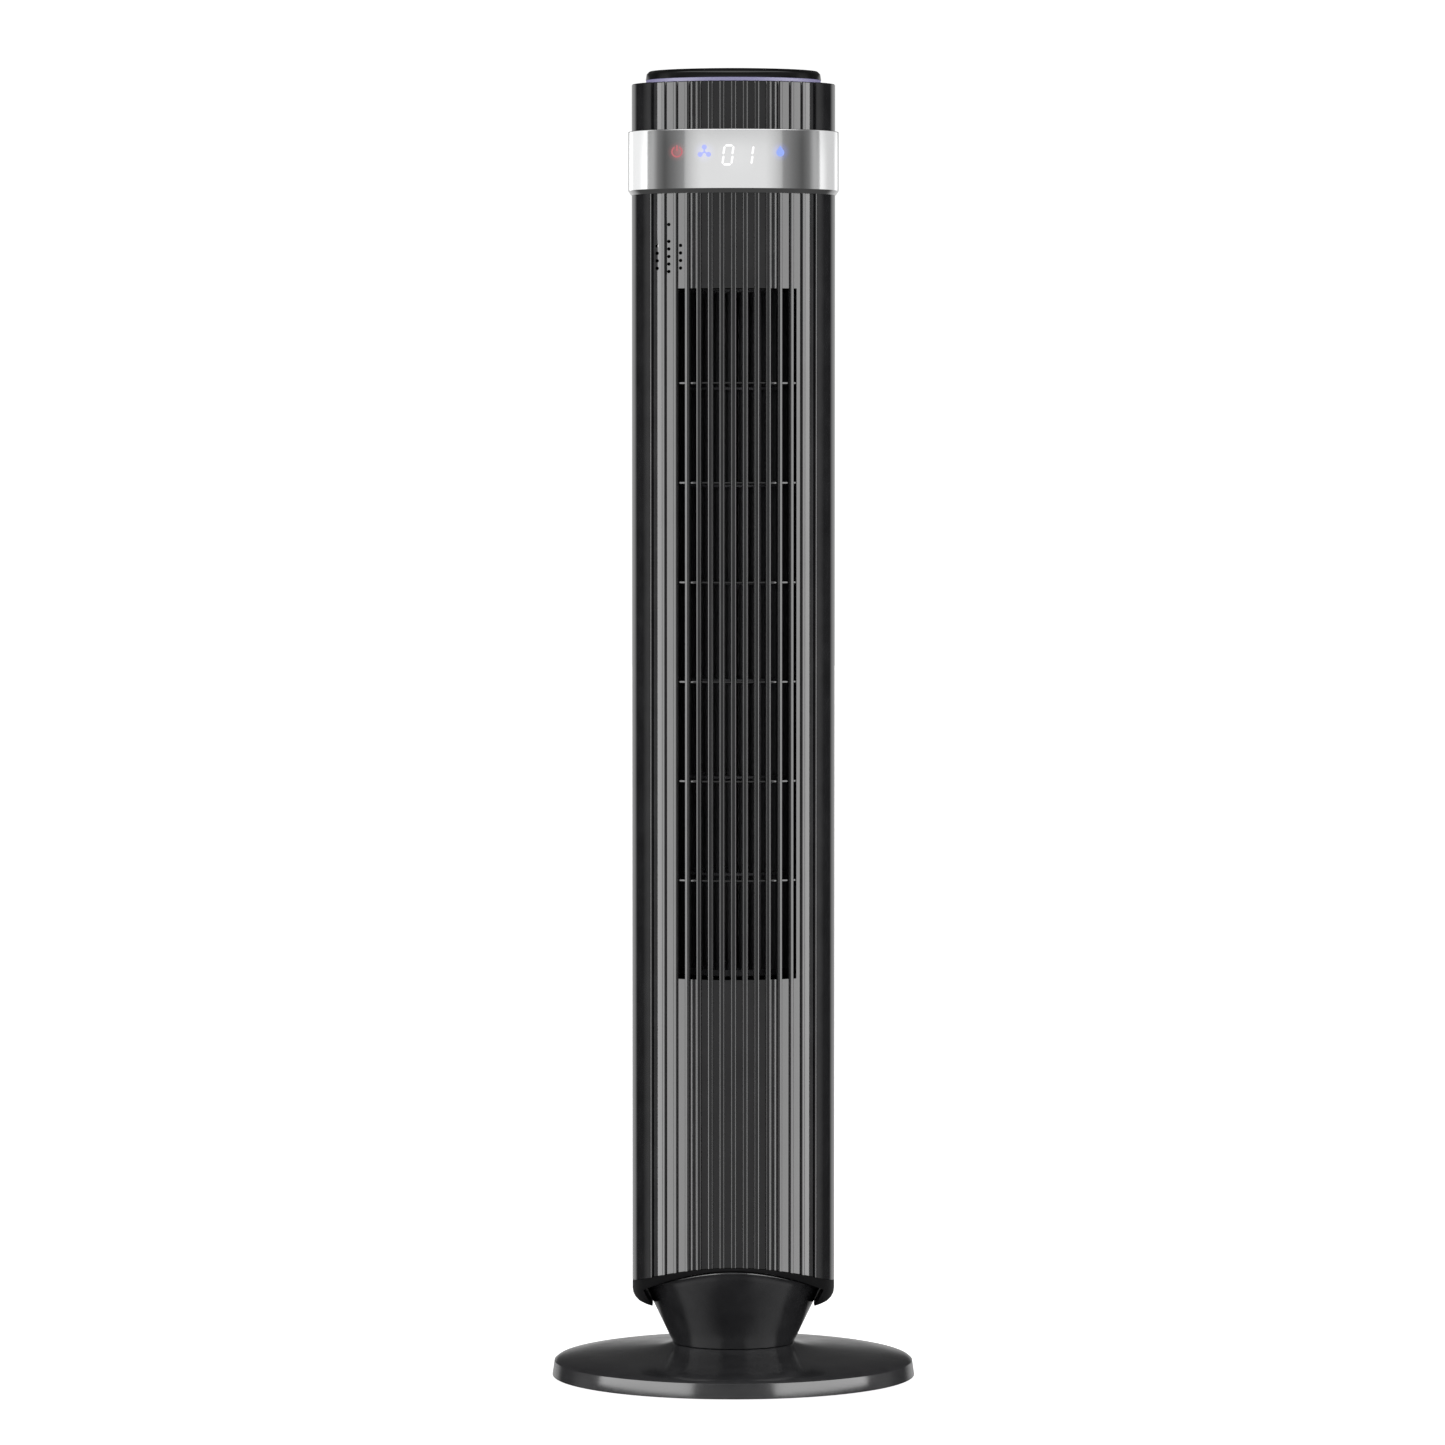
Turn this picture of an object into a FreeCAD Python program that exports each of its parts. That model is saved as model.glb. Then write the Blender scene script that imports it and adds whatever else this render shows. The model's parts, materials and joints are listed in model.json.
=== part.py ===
import FreeCAD, Part
import math
import os

# Oscillating tower fan: a round base with a swivel post, a slim column that turns on it, and a
# cross-flow impeller that spins inside the column. Millimetres, +Z up, the front faces -Y, and
# the origin is at the bottom centre of the base. A "bearing" is an angle about +Z counted from
# the front towards +X.

# ---- driving dimensions -------------------------------------------------------------------
COLUMN_R = 82.7            # outside radius of the column
LAND_R = 80.9              # surface between the raised ribs of the front
FRONT_INNER_R = 78.4
REAR_INNER_R = 80.0
SEAM_BEARING = 53.4        # where the ribbed front shell meets the rear shell
SHELL_TOP = 972.0

RIB_PITCH = 9.47
RIB_WIDTH = 4.0
RIB_COUNT_EACH_SIDE = 6

ARCH_TOP = 98.8            # lower edge of the shells: an arch seen from the front and the back
ARCH_R = 194.0
TUNNEL_TOP = 96.2          # the foot cap's own, tighter arch over the neck
TUNNEL_SPRING = (73.4, 75.4)
LOBE_FOOT = (66.8, 60.4)   # inner lower corner of the foot cap's side lobes, (x, z)

OUTLET_LEFT = -45.0
OUTLET_RIGHT = 50.8
OUTLET_BOTTOM = 331.7
OUTLET_TOP = 888.6
OUTLET_ROWS = 7
BAR_DEPTH = 5.5
CROSS_BAR_HEIGHT = 1.8
CROSS_BAR_DEPTH = 2.6

SOUND_HOLE_R = 1.4         # the speaker's holes, in three columns on the left lands
SOUND_HOLE_PITCH = 6.05
SOUND_HOLE_Z = 904.9
SIDE_HOLES = (0, 1, 2, 3)  # heights in pitches above SOUND_HOLE_Z
MIDDLE_HOLES = (-0.45, 0.55, 1.55, 2.55, 3.55, 5.8)

INTAKE_BEARING = 50.0      # the rear grille spans this far each side of straight back
INTAKE_BOTTOM = 345.0
INTAKE_TOP = 875.0

BAND_R = 85.7
BAND_BOTTOM = 965.0
BAND_TOP = 1016.2
CAP_TOP = 1054.7
GLOW_R = 71.0
GLOW_TOP = 1058.0
LID_R = 71.4
LID_EDGE = 1062.9
TOTAL_HEIGHT = 1067.0

NECK_BOTTOM = 28.4
NECK_TOP = 97.6
NECK_R = 49.5              # radius at the waist
NECK_SLOPE = 0.48          # radius gained per millimetre of height
WALL = 2.5
CLASP_R = 78.3             # inside radius of the foot cap, above the neck's cone

BASE_R = 148.3
BASE_EDGE_R = 146.6
BASE_EDGE_Z = 13.7
BASE_BOTTOM = 1.5
BASE_TOP = 27.9
GLAND_Z = 8.2
FOOT_HEIGHT = 1.5
FOOT_R = 11.0
FOOT_CIRCLE_R = 128.0
SCREW_CIRCLE_R = 133.0

POST_R = 14.0
POST_TOP = 54.0
RUNNING = 0.05             # radial clearance of each turning fit
GEAR_MODULE = 1.5
SUN_TEETH = 32
PINION_TEETH = 12
GEAR_BOTTOM = 43.0
GEAR_TOP = 49.0
PINION_Y = 33.2            # centre distance of the oscillation gears, with a little backlash
OSC_SCREW_X = (-16, 16)

IMPELLER_Y = 6.0           # the impeller sits slightly behind the column's axis
IMPELLER_R = 47.0
BLADE_INNER_R = 36.5
BLADES = 26
SHAFT_R = 4.0
LOWER_PARTITION = (318.0, 321.0)
UPPER_PARTITION = (893.0, 896.0)
MOTOR_BOTTOM = 236.0
MOTOR_TOP = 300.0


# ---- helpers ------------------------------------------------------------------------------
def vec(x, y, z):
    return FreeCAD.Vector(x, y, z)


def cyl(radius, low, high, x=0.0, y=0.0):
    return Part.makeCylinder(radius, high - low, vec(x, y, low))


def ring(outer, inner, low, high, x=0.0, y=0.0):
    return cyl(outer, low, high, x, y).cut(cyl(inner, low - 1, high + 1, x, y))


def box(x0, x1, y0, y1, z0, z1):
    return Part.makeBox(x1 - x0, y1 - y0, z1 - z0, vec(x0, y0, z0))


def polar(radius, bearing, z=0.0):
    angle = math.radians(bearing)
    return vec(radius * math.sin(angle), -radius * math.cos(angle), z)


def line(a, b):
    return Part.LineSegment(a, b).toShape()


def arc(a, middle, b):
    return Part.Arc(a, middle, b).toShape()


def solid_of(edges, direction):
    return Part.Face(Part.Wire(edges)).extrude(direction)


def lathe(points, arcs=()):
    """Turn an outline of (r, z) points about +Z; a point index in arcs is the middle of an arc."""
    corners = [vec(r, 0, z) for r, z in points]
    count = len(corners)
    edges = []
    index = 0
    while index < count:
        following = (index + 1) % count
        if following in arcs:
            last = (index + 2) % count
            edges.append(arc(corners[index], corners[following], corners[last]))
            index += 2
        else:
            edges.append(line(corners[index], corners[following]))
            index += 1
    return Part.Face(Part.Wire(edges)).revolve(vec(0, 0, 0), vec(0, 0, 1), 360)


def sector(outer, inner, start, end, low, high):
    """Part of a ring between two bearings."""
    middle = (start + end) / 2
    edges = [
        arc(polar(outer, start, low), polar(outer, middle, low), polar(outer, end, low)),
        line(polar(outer, end, low), polar(inner, end, low)),
        arc(polar(inner, end, low), polar(inner, middle, low), polar(inner, start, low)),
        line(polar(inner, start, low), polar(outer, start, low)),
    ]
    return solid_of(edges, vec(0, 0, high - low))


def fuse(solids):
    return solids[0].multiFuse(solids[1:]).removeSplitter() if len(solids) > 1 else solids[0]


def cut_all(shape, tools):
    return shape.cut(Part.makeCompound(tools))


def turned(shape, bearing):
    """Copy of a front-facing shape, turned about +Z to a bearing."""
    copy = shape.copy()
    copy.rotate(vec(0, 0, 0), vec(0, 0, 1), bearing)
    return copy


def save(name, shape):
    shape.exportStep("parts/" + name + ".step")


def cone_r(z):
    return NECK_R + NECK_SLOPE * (z - NECK_BOTTOM)


# ---- cutters shared by the lower end of the column ----------------------------------------
def below_arch():
    reach = COLUMN_R + 10
    drop = ARCH_R - math.sqrt(ARCH_R ** 2 - reach ** 2)
    left = vec(-reach, -reach, ARCH_TOP - drop)
    right = vec(reach, -reach, ARCH_TOP - drop)
    low_left = vec(-reach, -reach, 0)
    low_right = vec(reach, -reach, 0)
    edges = [
        arc(left, vec(0, -reach, ARCH_TOP), right),
        line(right, low_right),
        line(low_right, low_left),
        line(low_left, left),
    ]
    return solid_of(edges, vec(0, 2 * reach, 0))


def foot_tunnel():
    reach = COLUMN_R + 10
    spring_x, spring_z = TUNNEL_SPRING
    lobe_x, lobe_z = LOBE_FOOT
    points = [
        vec(spring_x, -reach, spring_z),
        vec(lobe_x, -reach, lobe_z),
        vec(lobe_x, -reach, 0),
        vec(-lobe_x, -reach, 0),
        vec(-lobe_x, -reach, lobe_z),
        vec(-spring_x, -reach, spring_z),
    ]
    edges = [line(points[i], points[i + 1]) for i in range(len(points) - 1)]
    edges.append(arc(points[-1], vec(0, -reach, TUNNEL_TOP), points[0]))
    return solid_of(edges, vec(0, 2 * reach, 0))


# ---- ribbed front of the column -----------------------------------------------------------
def front_point(radius, x, z):
    return vec(x, -math.sqrt(radius ** 2 - x ** 2), z)


def arc_on(radius, x0, x1, z):
    return arc(front_point(radius, x0, z), front_point(radius, (x0 + x1) / 2, z),
               front_point(radius, x1, z))


def ribbed_section(inner_r, low, high):
    """Curved front wall with evenly spaced raised ribs, between the two seams."""
    edges = []
    edge_x = LAND_R * math.sin(math.radians(SEAM_BEARING))
    at = -edge_x
    for k in range(-RIB_COUNT_EACH_SIDE, RIB_COUNT_EACH_SIDE + 1):
        left = k * RIB_PITCH - RIB_WIDTH / 2
        right = left + RIB_WIDTH
        edges.append(arc_on(LAND_R, at, left, low))
        edges.append(line(front_point(LAND_R, left, low), front_point(COLUMN_R, left, low)))
        edges.append(arc_on(COLUMN_R, left, right, low))
        edges.append(line(front_point(COLUMN_R, right, low), front_point(LAND_R, right, low)))
        at = right
    edges.append(arc_on(LAND_R, at, edge_x, low))
    inner_right = polar(inner_r, SEAM_BEARING, low)
    inner_left = polar(inner_r, -SEAM_BEARING, low)
    edges.append(line(front_point(LAND_R, edge_x, low), inner_right))
    edges.append(arc(inner_right, polar(inner_r, 0, low), inner_left))
    edges.append(line(inner_left, front_point(LAND_R, -edge_x, low)))
    return solid_of(edges, vec(0, 0, high - low))


def sound_holes():
    """Three short columns of small holes on the left lands, in front of the speaker."""
    heights = {-6: SIDE_HOLES, -5: MIDDLE_HOLES, -4: SIDE_HOLES}
    holes = []
    for k, steps in heights.items():
        x = (k - 0.5) * RIB_PITCH
        for step in steps:
            z = SOUND_HOLE_Z + step * SOUND_HOLE_PITCH
            holes.append(Part.makeCylinder(SOUND_HOLE_R, 40, vec(x, -COLUMN_R - 2, z),
                                           vec(0, 1, 0)))
    return holes


def front_shell():
    wall = ribbed_section(FRONT_INNER_R, 70, SHELL_TOP)
    window = box(OUTLET_LEFT, OUTLET_RIGHT, -COLUMN_R - 5, -30, OUTLET_BOTTOM, OUTLET_TOP)
    wall = cut_all(wall, [window, below_arch()] + sound_holes())
    bars = []
    for k in range(-4, 6):
        x = k * RIB_PITCH
        upright = box(x - RIB_WIDTH / 2, x + RIB_WIDTH / 2, -COLUMN_R - 5, 0,
                      OUTLET_BOTTOM - 1, OUTLET_TOP + 1)
        bars.append(upright.common(ring(COLUMN_R, COLUMN_R - BAR_DEPTH, OUTLET_BOTTOM - 1,
                                        OUTLET_TOP + 1)))
    row_pitch = (OUTLET_TOP - OUTLET_BOTTOM) / OUTLET_ROWS
    reach = 56.0
    for row in range(1, OUTLET_ROWS):
        z = OUTLET_BOTTOM + row * row_pitch
        cross = ring(LAND_R - 0.6, LAND_R - 0.6 - CROSS_BAR_DEPTH, z - CROSS_BAR_HEIGHT / 2,
                     z + CROSS_BAR_HEIGHT / 2)
        bars.append(cross.common(box(-reach + 9, reach - 3, -COLUMN_R, -30, z - 2, z + 2)))
    return fuse([wall] + bars)


def rear_shell():
    wall = sector(COLUMN_R, REAR_INNER_R, SEAM_BEARING + 0.15, 359.85 - SEAM_BEARING, 70,
                  SHELL_TOP)
    intake = sector(COLUMN_R + 5, REAR_INNER_R - 5, 180 - INTAKE_BEARING, 180 + INTAKE_BEARING,
                    INTAKE_BOTTOM, INTAKE_TOP)
    tools = [intake, below_arch(), handle_hole(0.0)]
    for x, z in shell_screw_places():
        tools.append(Part.makeCylinder(4.0, 40, vec(x, 45, z), vec(0, 1, 0)))
    return cut_all(wall, tools)


def rear_grille():
    """Removable intake panel: a curved frame with upright ribs and level slats."""
    edge = INTAKE_BEARING - 0.25
    low = INTAKE_BOTTOM + 0.3
    high = INTAKE_TOP - 0.3
    outer = COLUMN_R - 0.2
    inner = REAR_INNER_R - 0.4
    frame = sector(outer, inner, 180 - edge, 180 + edge, low, high)
    columns = 11
    rows = 34
    border_angle = 3.0
    border_height = 8.0
    step_angle = 2 * (edge - border_angle) / columns
    step_height = (high - low - 2 * border_height) / rows
    rib_angle = 1.5
    slat = 4.0
    slots = []
    for column in range(columns):
        start = 180 - edge + border_angle + column * step_angle + rib_angle / 2
        end = start + step_angle - rib_angle
        for row in range(rows):
            bottom = low + border_height + row * step_height + slat / 2
            slots.append(sector(outer + 4, inner - 4, start, end, bottom,
                                bottom + step_height - slat))
    return cut_all(frame, slots)


# ---- carry handle recess ------------------------------------------------------------------
HANDLE_HALF_WIDTH = 45.0
HANDLE_LOW = 905.0
HANDLE_HIGH = 945.0
HANDLE_BOTTOM_Y = 52.0


def handle_hole(inset):
    hole = box(-HANDLE_HALF_WIDTH + inset, HANDLE_HALF_WIDTH - inset, HANDLE_BOTTOM_Y + inset,
               COLUMN_R + 5, HANDLE_LOW + inset, HANDLE_HIGH - inset)
    upright = [edge for edge in hole.Edges
               if abs(edge.tangentAt(edge.FirstParameter).y) > 0.9]
    return hole.makeFillet(9.0 - inset, upright)


def handle_cup():
    cup = handle_hole(0.1).cut(handle_hole(2.1))
    return cup.common(cyl(COLUMN_R - 0.3, HANDLE_LOW - 5, HANDLE_HIGH + 5))


# ---- top of the column --------------------------------------------------------------------
def cap_shell():
    front = ribbed_section(FRONT_INNER_R, BAND_TOP, CAP_TOP)
    sides = sector(COLUMN_R, FRONT_INNER_R, SEAM_BEARING, 360 - SEAM_BEARING, BAND_TOP, CAP_TOP)
    deck = ring(LAND_R - 0.4, GLOW_R + 0.2, CAP_TOP - WALL, CAP_TOP)
    spigot = ring(80.6, 78.0, SHELL_TOP + 1, BAND_TOP + 6)
    spigot = spigot.cut(sector(90, 70, -45, 45, 978, 1012))
    return fuse([front, sides, deck, spigot])


def control_band():
    outline = [(82.75, BAND_BOTTOM), (BAND_R, BAND_BOTTOM + 3.2), (BAND_R, BAND_TOP - 1.0),
               (BAND_R - 1.0, BAND_TOP), (81.0, BAND_TOP), (81.0, SHELL_TOP),
               (82.75, SHELL_TOP)]
    return lathe(outline).cut(icon_prisms())


PRISM_Y = -95.0            # icons are cut from prisms that run from here back into the band
PRISM_DEPTH = 40.0


def disc_prism(radius, x, z):
    return Part.makeCylinder(radius, PRISM_DEPTH, vec(x, PRISM_Y, z), vec(0, 1, 0))


def stroke(x0, z0, x1, z1, width):
    """Flat bar with round ends, standing in front of the band, to be cut to its surface."""
    length = math.hypot(x1 - x0, z1 - z0)
    bar = Part.makeBox(length, PRISM_DEPTH, width, vec(0, PRISM_Y, -width / 2))
    shape = bar.fuse([disc_prism(width / 2, 0, 0), disc_prism(width / 2, length, 0)])
    shape.rotate(vec(0, 0, 0), vec(0, 1, 0), -math.degrees(math.atan2(z1 - z0, x1 - x0)))
    shape.translate(vec(x0, 0, z0))
    return shape


def power_icon(x, z):
    """Open circle with a short upright bar in its gap."""
    gap = box(x - 1.9, x + 1.9, PRISM_Y, PRISM_Y + PRISM_DEPTH, z, z + 6)
    hoop = disc_prism(4.6, x, z).cut(disc_prism(3.4, x, z)).cut(gap)
    return [hoop, stroke(x, z + 1.2, x, z + 4.6, 1.2)]


def fan_icon(x, z):
    """Three round blades on short arms."""
    pieces = []
    for index in range(3):
        angle = math.radians(90 + 120 * index)
        tip_x = x + 3.9 * math.cos(angle)
        tip_z = z + 3.9 * math.sin(angle)
        pieces.append(stroke(x, z, tip_x, tip_z, 1.3))
        pieces.append(disc_prism(2.0, tip_x, tip_z))
    return [fuse(pieces)]


def digit(x, z, segments):
    """Seven-segment digit; the segments are named a to g as usual, clockwise from the top."""
    half_width = 3.6
    half_height = 7.6
    gap = 0.9
    ends = {
        "a": (-half_width, half_height, half_width, half_height),
        "b": (half_width, half_height, half_width, 0),
        "c": (half_width, 0, half_width, -half_height),
        "d": (-half_width, -half_height, half_width, -half_height),
        "e": (-half_width, 0, -half_width, -half_height),
        "f": (-half_width, half_height, -half_width, 0),
        "g": (-half_width, 0, half_width, 0),
    }
    lean = 0.1
    pieces = []
    for name in segments:
        x0, z0, x1, z1 = ends[name]
        length = math.hypot(x1 - x0, z1 - z0)
        along_x = (x1 - x0) / length * (gap + 0.6)
        along_z = (z1 - z0) / length * (gap + 0.6)
        pieces.append(stroke(x + x0 + along_x + lean * z0, z + z0 + along_z,
                             x + x1 - along_x + lean * z1, z + z1 - along_z, 1.7))
    return pieces


def drop_icon(x, z):
    """Water drop: a round bottom and a pointed top."""
    points = [vec(x - 2.9, PRISM_Y, z + 0.6), vec(x, PRISM_Y, z + 4.8),
              vec(x + 2.9, PRISM_Y, z + 0.6), vec(x - 2.9, PRISM_Y, z + 0.6)]
    tip = Part.Face(Part.makePolygon(points)).extrude(vec(0, PRISM_DEPTH, 0))
    return [disc_prism(3.2, x, z - 0.8).fuse(tip)]


def icon_prisms():
    z = 998.0
    shapes = power_icon(-45.5, z) + fan_icon(-23.5, z - 0.5) + drop_icon(37.5, z)
    shapes += digit(-4.5, z - 3.0, "abcdef") + digit(11.5, z - 3.0, "bc")
    zone = ring(BAND_R + 0.5, BAND_R - 1.1, BAND_BOTTOM, BAND_TOP)
    return Part.makeCompound([shape.common(zone) for shape in shapes])


def display_icons():
    skin = ring(BAND_R + 0.04, BAND_R - 1.1, BAND_BOTTOM, BAND_TOP)
    solids = []
    for shape in icon_prisms().Solids:
        solids += shape.common(skin).Solids
    return Part.makeCompound(solids)


def light_guide():
    return sector(80.8, 77.6, -44, 44, 979, 1011)


def control_board():
    return box(-44, 44, -60.0, -58.4, 975, 1014)


def display_leds():
    leds = []
    for x in (-42, -22, -8, -2, 8, 14, 34):
        leds.append(box(x - 1.5, x + 1.5, -61.2, -60.0, 990, 993))
        leds.append(box(x - 1.5, x + 1.5, -61.2, -60.0, 1000, 1003))
    return Part.makeCompound(leds)


def speaker():
    rim = cyl(13.0, 0, 3).fuse(cyl(7.5, 3, 10))
    rim.rotate(vec(0, 0, 0), vec(1, 0, 0), -90)
    rim.translate(vec(0, -76, 0))
    placed = turned(rim, -40)
    placed.translate(vec(0, 0, 914))
    return placed


def led_ring_board():
    return ring(66.0, 50.0, 1046.0, 1047.6)


def light_diffuser():
    return ring(GLOW_R, 66.5, CAP_TOP - 4, GLOW_TOP)


def top_lid():
    dome_r = LID_R - 3.0
    dome_rise = TOTAL_HEIGHT - LID_EDGE - 2.3
    dome_radius = (dome_r ** 2 + dome_rise ** 2) / (2 * dome_rise)
    halfway = dome_r / 2
    halfway_drop = dome_radius - math.sqrt(dome_radius ** 2 - halfway ** 2)
    outline = [(0, GLOW_TOP + 5), (LID_R - 8, GLOW_TOP + 3), (LID_R - 5, GLOW_TOP),
               (LID_R, GLOW_TOP), (LID_R, LID_EDGE), (LID_R - 0.9, LID_EDGE + 1.5),
               (dome_r, LID_EDGE + 2.3), (halfway, TOTAL_HEIGHT - halfway_drop),
               (0, TOTAL_HEIGHT)]
    return lathe(outline, arcs=(5, 7))


# ---- foot of the column -------------------------------------------------------------------
def neck_cone():
    outline = [(18.0, NECK_BOTTOM), (NECK_R, NECK_BOTTOM), (cone_r(NECK_TOP), NECK_TOP),
               (60.0, NECK_TOP), (60.0, NECK_TOP - 3), (cone_r(NECK_TOP) - 2 * WALL, NECK_TOP - 3),
               (NECK_R - WALL + 1.5, NECK_BOTTOM + 4), (18.0, NECK_BOTTOM + 4)]
    clasp = ring(95, CLASP_R - 0.1, 0, 110).cut(foot_tunnel())
    return lathe(outline).cut(clasp)


def foot_cap():
    low = 61.4
    gap = 0.15
    clasp_z = NECK_BOTTOM + (CLASP_R - gap - NECK_R) / NECK_SLOPE
    outline = [(cone_r(low) + gap, low), (78.6, 65.0), (COLUMN_R, 73.5), (COLUMN_R, 100.0),
               (CLASP_R, 100.0), (CLASP_R, clasp_z)]
    body = lathe(outline, arcs=(1,))
    return body.cut(foot_tunnel()).common(below_arch())


def column_floor():
    plate = cyl(77.0, NECK_TOP, NECK_TOP + 3).cut(cyl(12, NECK_TOP - 1, NECK_TOP + 4))
    posts = [cyl(4, NECK_TOP + 3, NECK_TOP + 13, x, 38) for x in (-34, 34)]
    return fuse([plate] + posts)


def swivel_bush():
    return ring(18.0, POST_R + RUNNING, NECK_BOTTOM, 40.0).fuse(
        ring(24.0, 17.0, NECK_BOTTOM + 4, NECK_BOTTOM + 6.5))


# ---- base ---------------------------------------------------------------------------------
def base_cover():
    """Weighted disc whose top flares up into a short trumpet under the neck."""
    top = [(BASE_EDGE_R, BASE_EDGE_Z), (141.5, 16.6), (125.0, 19.4), (100.0, 21.6),
           (75.0, 23.6), (60.0, 25.3), (50.0, BASE_TOP)]
    edge = line(vec(BASE_R, 0, BASE_BOTTOM), vec(BASE_EDGE_R, 0, BASE_EDGE_Z))
    curve = Part.BSplineCurve()
    curve.interpolate([vec(r, 0, z) for r, z in top])
    under = [(42.5, BASE_TOP), (42.5, 25.6), (15.0, 25.6), (15.0, 22.6), (50.0, 22.6),
             (75.0, 20.4), (100.0, 18.6), (125.0, 16.6), (138.0, 14.0), (BASE_R - 4.6, 11.0),
             (BASE_R - WALL - 0.2, BASE_BOTTOM), (BASE_R, BASE_BOTTOM)]
    corners = [vec(50.0, 0, BASE_TOP)] + [vec(r, 0, z) for r, z in under]
    edges = [edge, curve.toShape()]
    edges += [line(corners[i], corners[i + 1]) for i in range(len(corners) - 1)]
    cover = Part.Face(Part.Wire(edges)).revolve(vec(0, 0, 0), vec(0, 0, 1), 360)
    return cover.cut(Part.makeCylinder(4.0, 20, vec(0, 138, GLAND_Z), vec(0, 1, 0)))


def base_plate():
    plate = ring(BASE_R - WALL - 1.0, 9.0, BASE_BOTTOM, BASE_BOTTOM + 2)
    holes = [cyl(1.8, 0, 10, SCREW_CIRCLE_R * math.cos(a), SCREW_CIRCLE_R * math.sin(a))
             for a in screw_angles()]
    return cut_all(plate, holes)


def base_ballast():
    return ring(122.0, 62.0, BASE_BOTTOM + 2, 13.0)


def screw_angles():
    return [math.radians(30 + 60 * index) for index in range(6)]


def base_screws():
    screws = []
    for angle in screw_angles():
        x = SCREW_CIRCLE_R * math.cos(angle)
        y = SCREW_CIRCLE_R * math.sin(angle)
        head = cyl(3.2, BASE_BOTTOM - 1.2, BASE_BOTTOM, x, y)
        screws.append(head.fuse(cyl(1.7, BASE_BOTTOM, 12.0, x, y)))
    return Part.makeCompound(screws)


def rubber_feet():
    feet = []
    for index in range(6):
        angle = math.radians(60 * index)
        feet.append(cyl(FOOT_R, 0, FOOT_HEIGHT, FOOT_CIRCLE_R * math.cos(angle),
                        FOOT_CIRCLE_R * math.sin(angle)))
    return Part.makeCompound(feet)


def swivel_post():
    flange = cyl(38.0, BASE_BOTTOM + 2, BASE_BOTTOM + 5)
    tube = cyl(POST_R, BASE_BOTTOM + 5, POST_TOP)
    bore = cyl(9.0, 0, POST_TOP + 1)
    holes = [cyl(2.2, 0, 10, 30 * math.cos(a), 30 * math.sin(a)) for a in post_screw_angles()]
    return cut_all(flange.fuse(tube), [bore] + holes)


def post_screw_angles():
    return [math.radians(45 + 90 * index) for index in range(4)]


def post_screws():
    screws = []
    for angle in post_screw_angles():
        x = 30 * math.cos(angle)
        y = 30 * math.sin(angle)
        screws.append(cyl(4.0, BASE_BOTTOM + 5, BASE_BOTTOM + 8, x, y).fuse(
            cyl(2.1, BASE_BOTTOM + 2, BASE_BOTTOM + 5, x, y)))
    return Part.makeCompound(screws)


def slide_washer():
    return ring(40.0, POST_R + 1.0, 25.6, NECK_BOTTOM - 0.5)


def retaining_nut():
    points = [vec(19 * math.cos(math.radians(60 * i)), 19 * math.sin(math.radians(60 * i)),
                  GEAR_TOP + 0.2) for i in range(7)]
    prism = Part.Face(Part.makePolygon(points)).extrude(vec(0, 0, 3.6))
    return prism.cut(cyl(POST_R, 0, 70))


def cord_gland():
    bush = Part.makeCylinder(3.9, 6.5, vec(0, 140.6, GLAND_Z), vec(0, 1, 0))
    flange = Part.makeCylinder(4.4, 1.4, vec(0, 139.4, GLAND_Z), vec(0, 1, 0))
    hole = Part.makeCylinder(2.6, 20, vec(0, 135, GLAND_Z), vec(0, 1, 0))
    return bush.fuse(flange).cut(hole)


# ---- oscillation drive --------------------------------------------------------------------
def involute_point(base_r, radius, offset, side):
    """Point of one flank of a tooth centred on angle 0, at the given radius."""
    pressure = math.acos(min(1.0, base_r / radius))
    roll = math.tan(pressure) - pressure
    angle = side * (offset - roll)
    return radius * math.cos(angle), radius * math.sin(angle)


def gear(teeth, addendum, turn, low, high):
    """Spur gear with involute flanks and a little backlash."""
    pitch_r = GEAR_MODULE * teeth / 2
    pressure = math.radians(20)
    base_r = pitch_r * math.cos(pressure)
    root_r = pitch_r - 1.3 * GEAR_MODULE
    tip_r = pitch_r + addendum
    thinning = 0.16
    half = (math.pi * GEAR_MODULE / 2 - thinning) / 2 / pitch_r
    offset = half + math.tan(pressure) - pressure
    start_r = max(base_r, root_r) + 0.02
    steps = 6
    radii = [start_r + (tip_r - start_r) * i / (steps - 1) for i in range(steps)]
    points = []
    for tooth in range(teeth):
        centre = 2 * math.pi * tooth / teeth + turn
        rising = [involute_point(base_r, r, offset, -1) for r in radii]
        falling = [involute_point(base_r, r, offset, 1) for r in reversed(radii)]
        foot_a = math.atan2(rising[0][1], rising[0][0])
        flank = [(root_r * math.cos(foot_a), root_r * math.sin(foot_a))] + rising
        flank += falling + [(root_r * math.cos(-foot_a), root_r * math.sin(-foot_a))]
        for x, y in flank:
            points.append(vec(x * math.cos(centre) - y * math.sin(centre),
                              x * math.sin(centre) + y * math.cos(centre), low))
    points.append(points[0])
    return Part.Face(Part.makePolygon(points)).extrude(vec(0, 0, high - low))


def sun_gear():
    return gear(SUN_TEETH, 1.15, 0.0, GEAR_BOTTOM, GEAR_TOP).cut(cyl(POST_R, 0, 70))


def osc_pinion():
    wheel = gear(PINION_TEETH, 1.25, math.radians(15), GEAR_BOTTOM, GEAR_TOP)
    shaft = cyl(3.0, GEAR_BOTTOM - 1, 68.0)
    pinion = fuse([wheel, shaft])
    pinion.translate(vec(0, PINION_Y, 0))
    return pinion


def osc_motor():
    can = cyl(20.0, 58.5, 75.0, 0, PINION_Y)
    return can.cut(cyl(3.0 + RUNNING, 50, 69.0, 0, PINION_Y))


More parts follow.
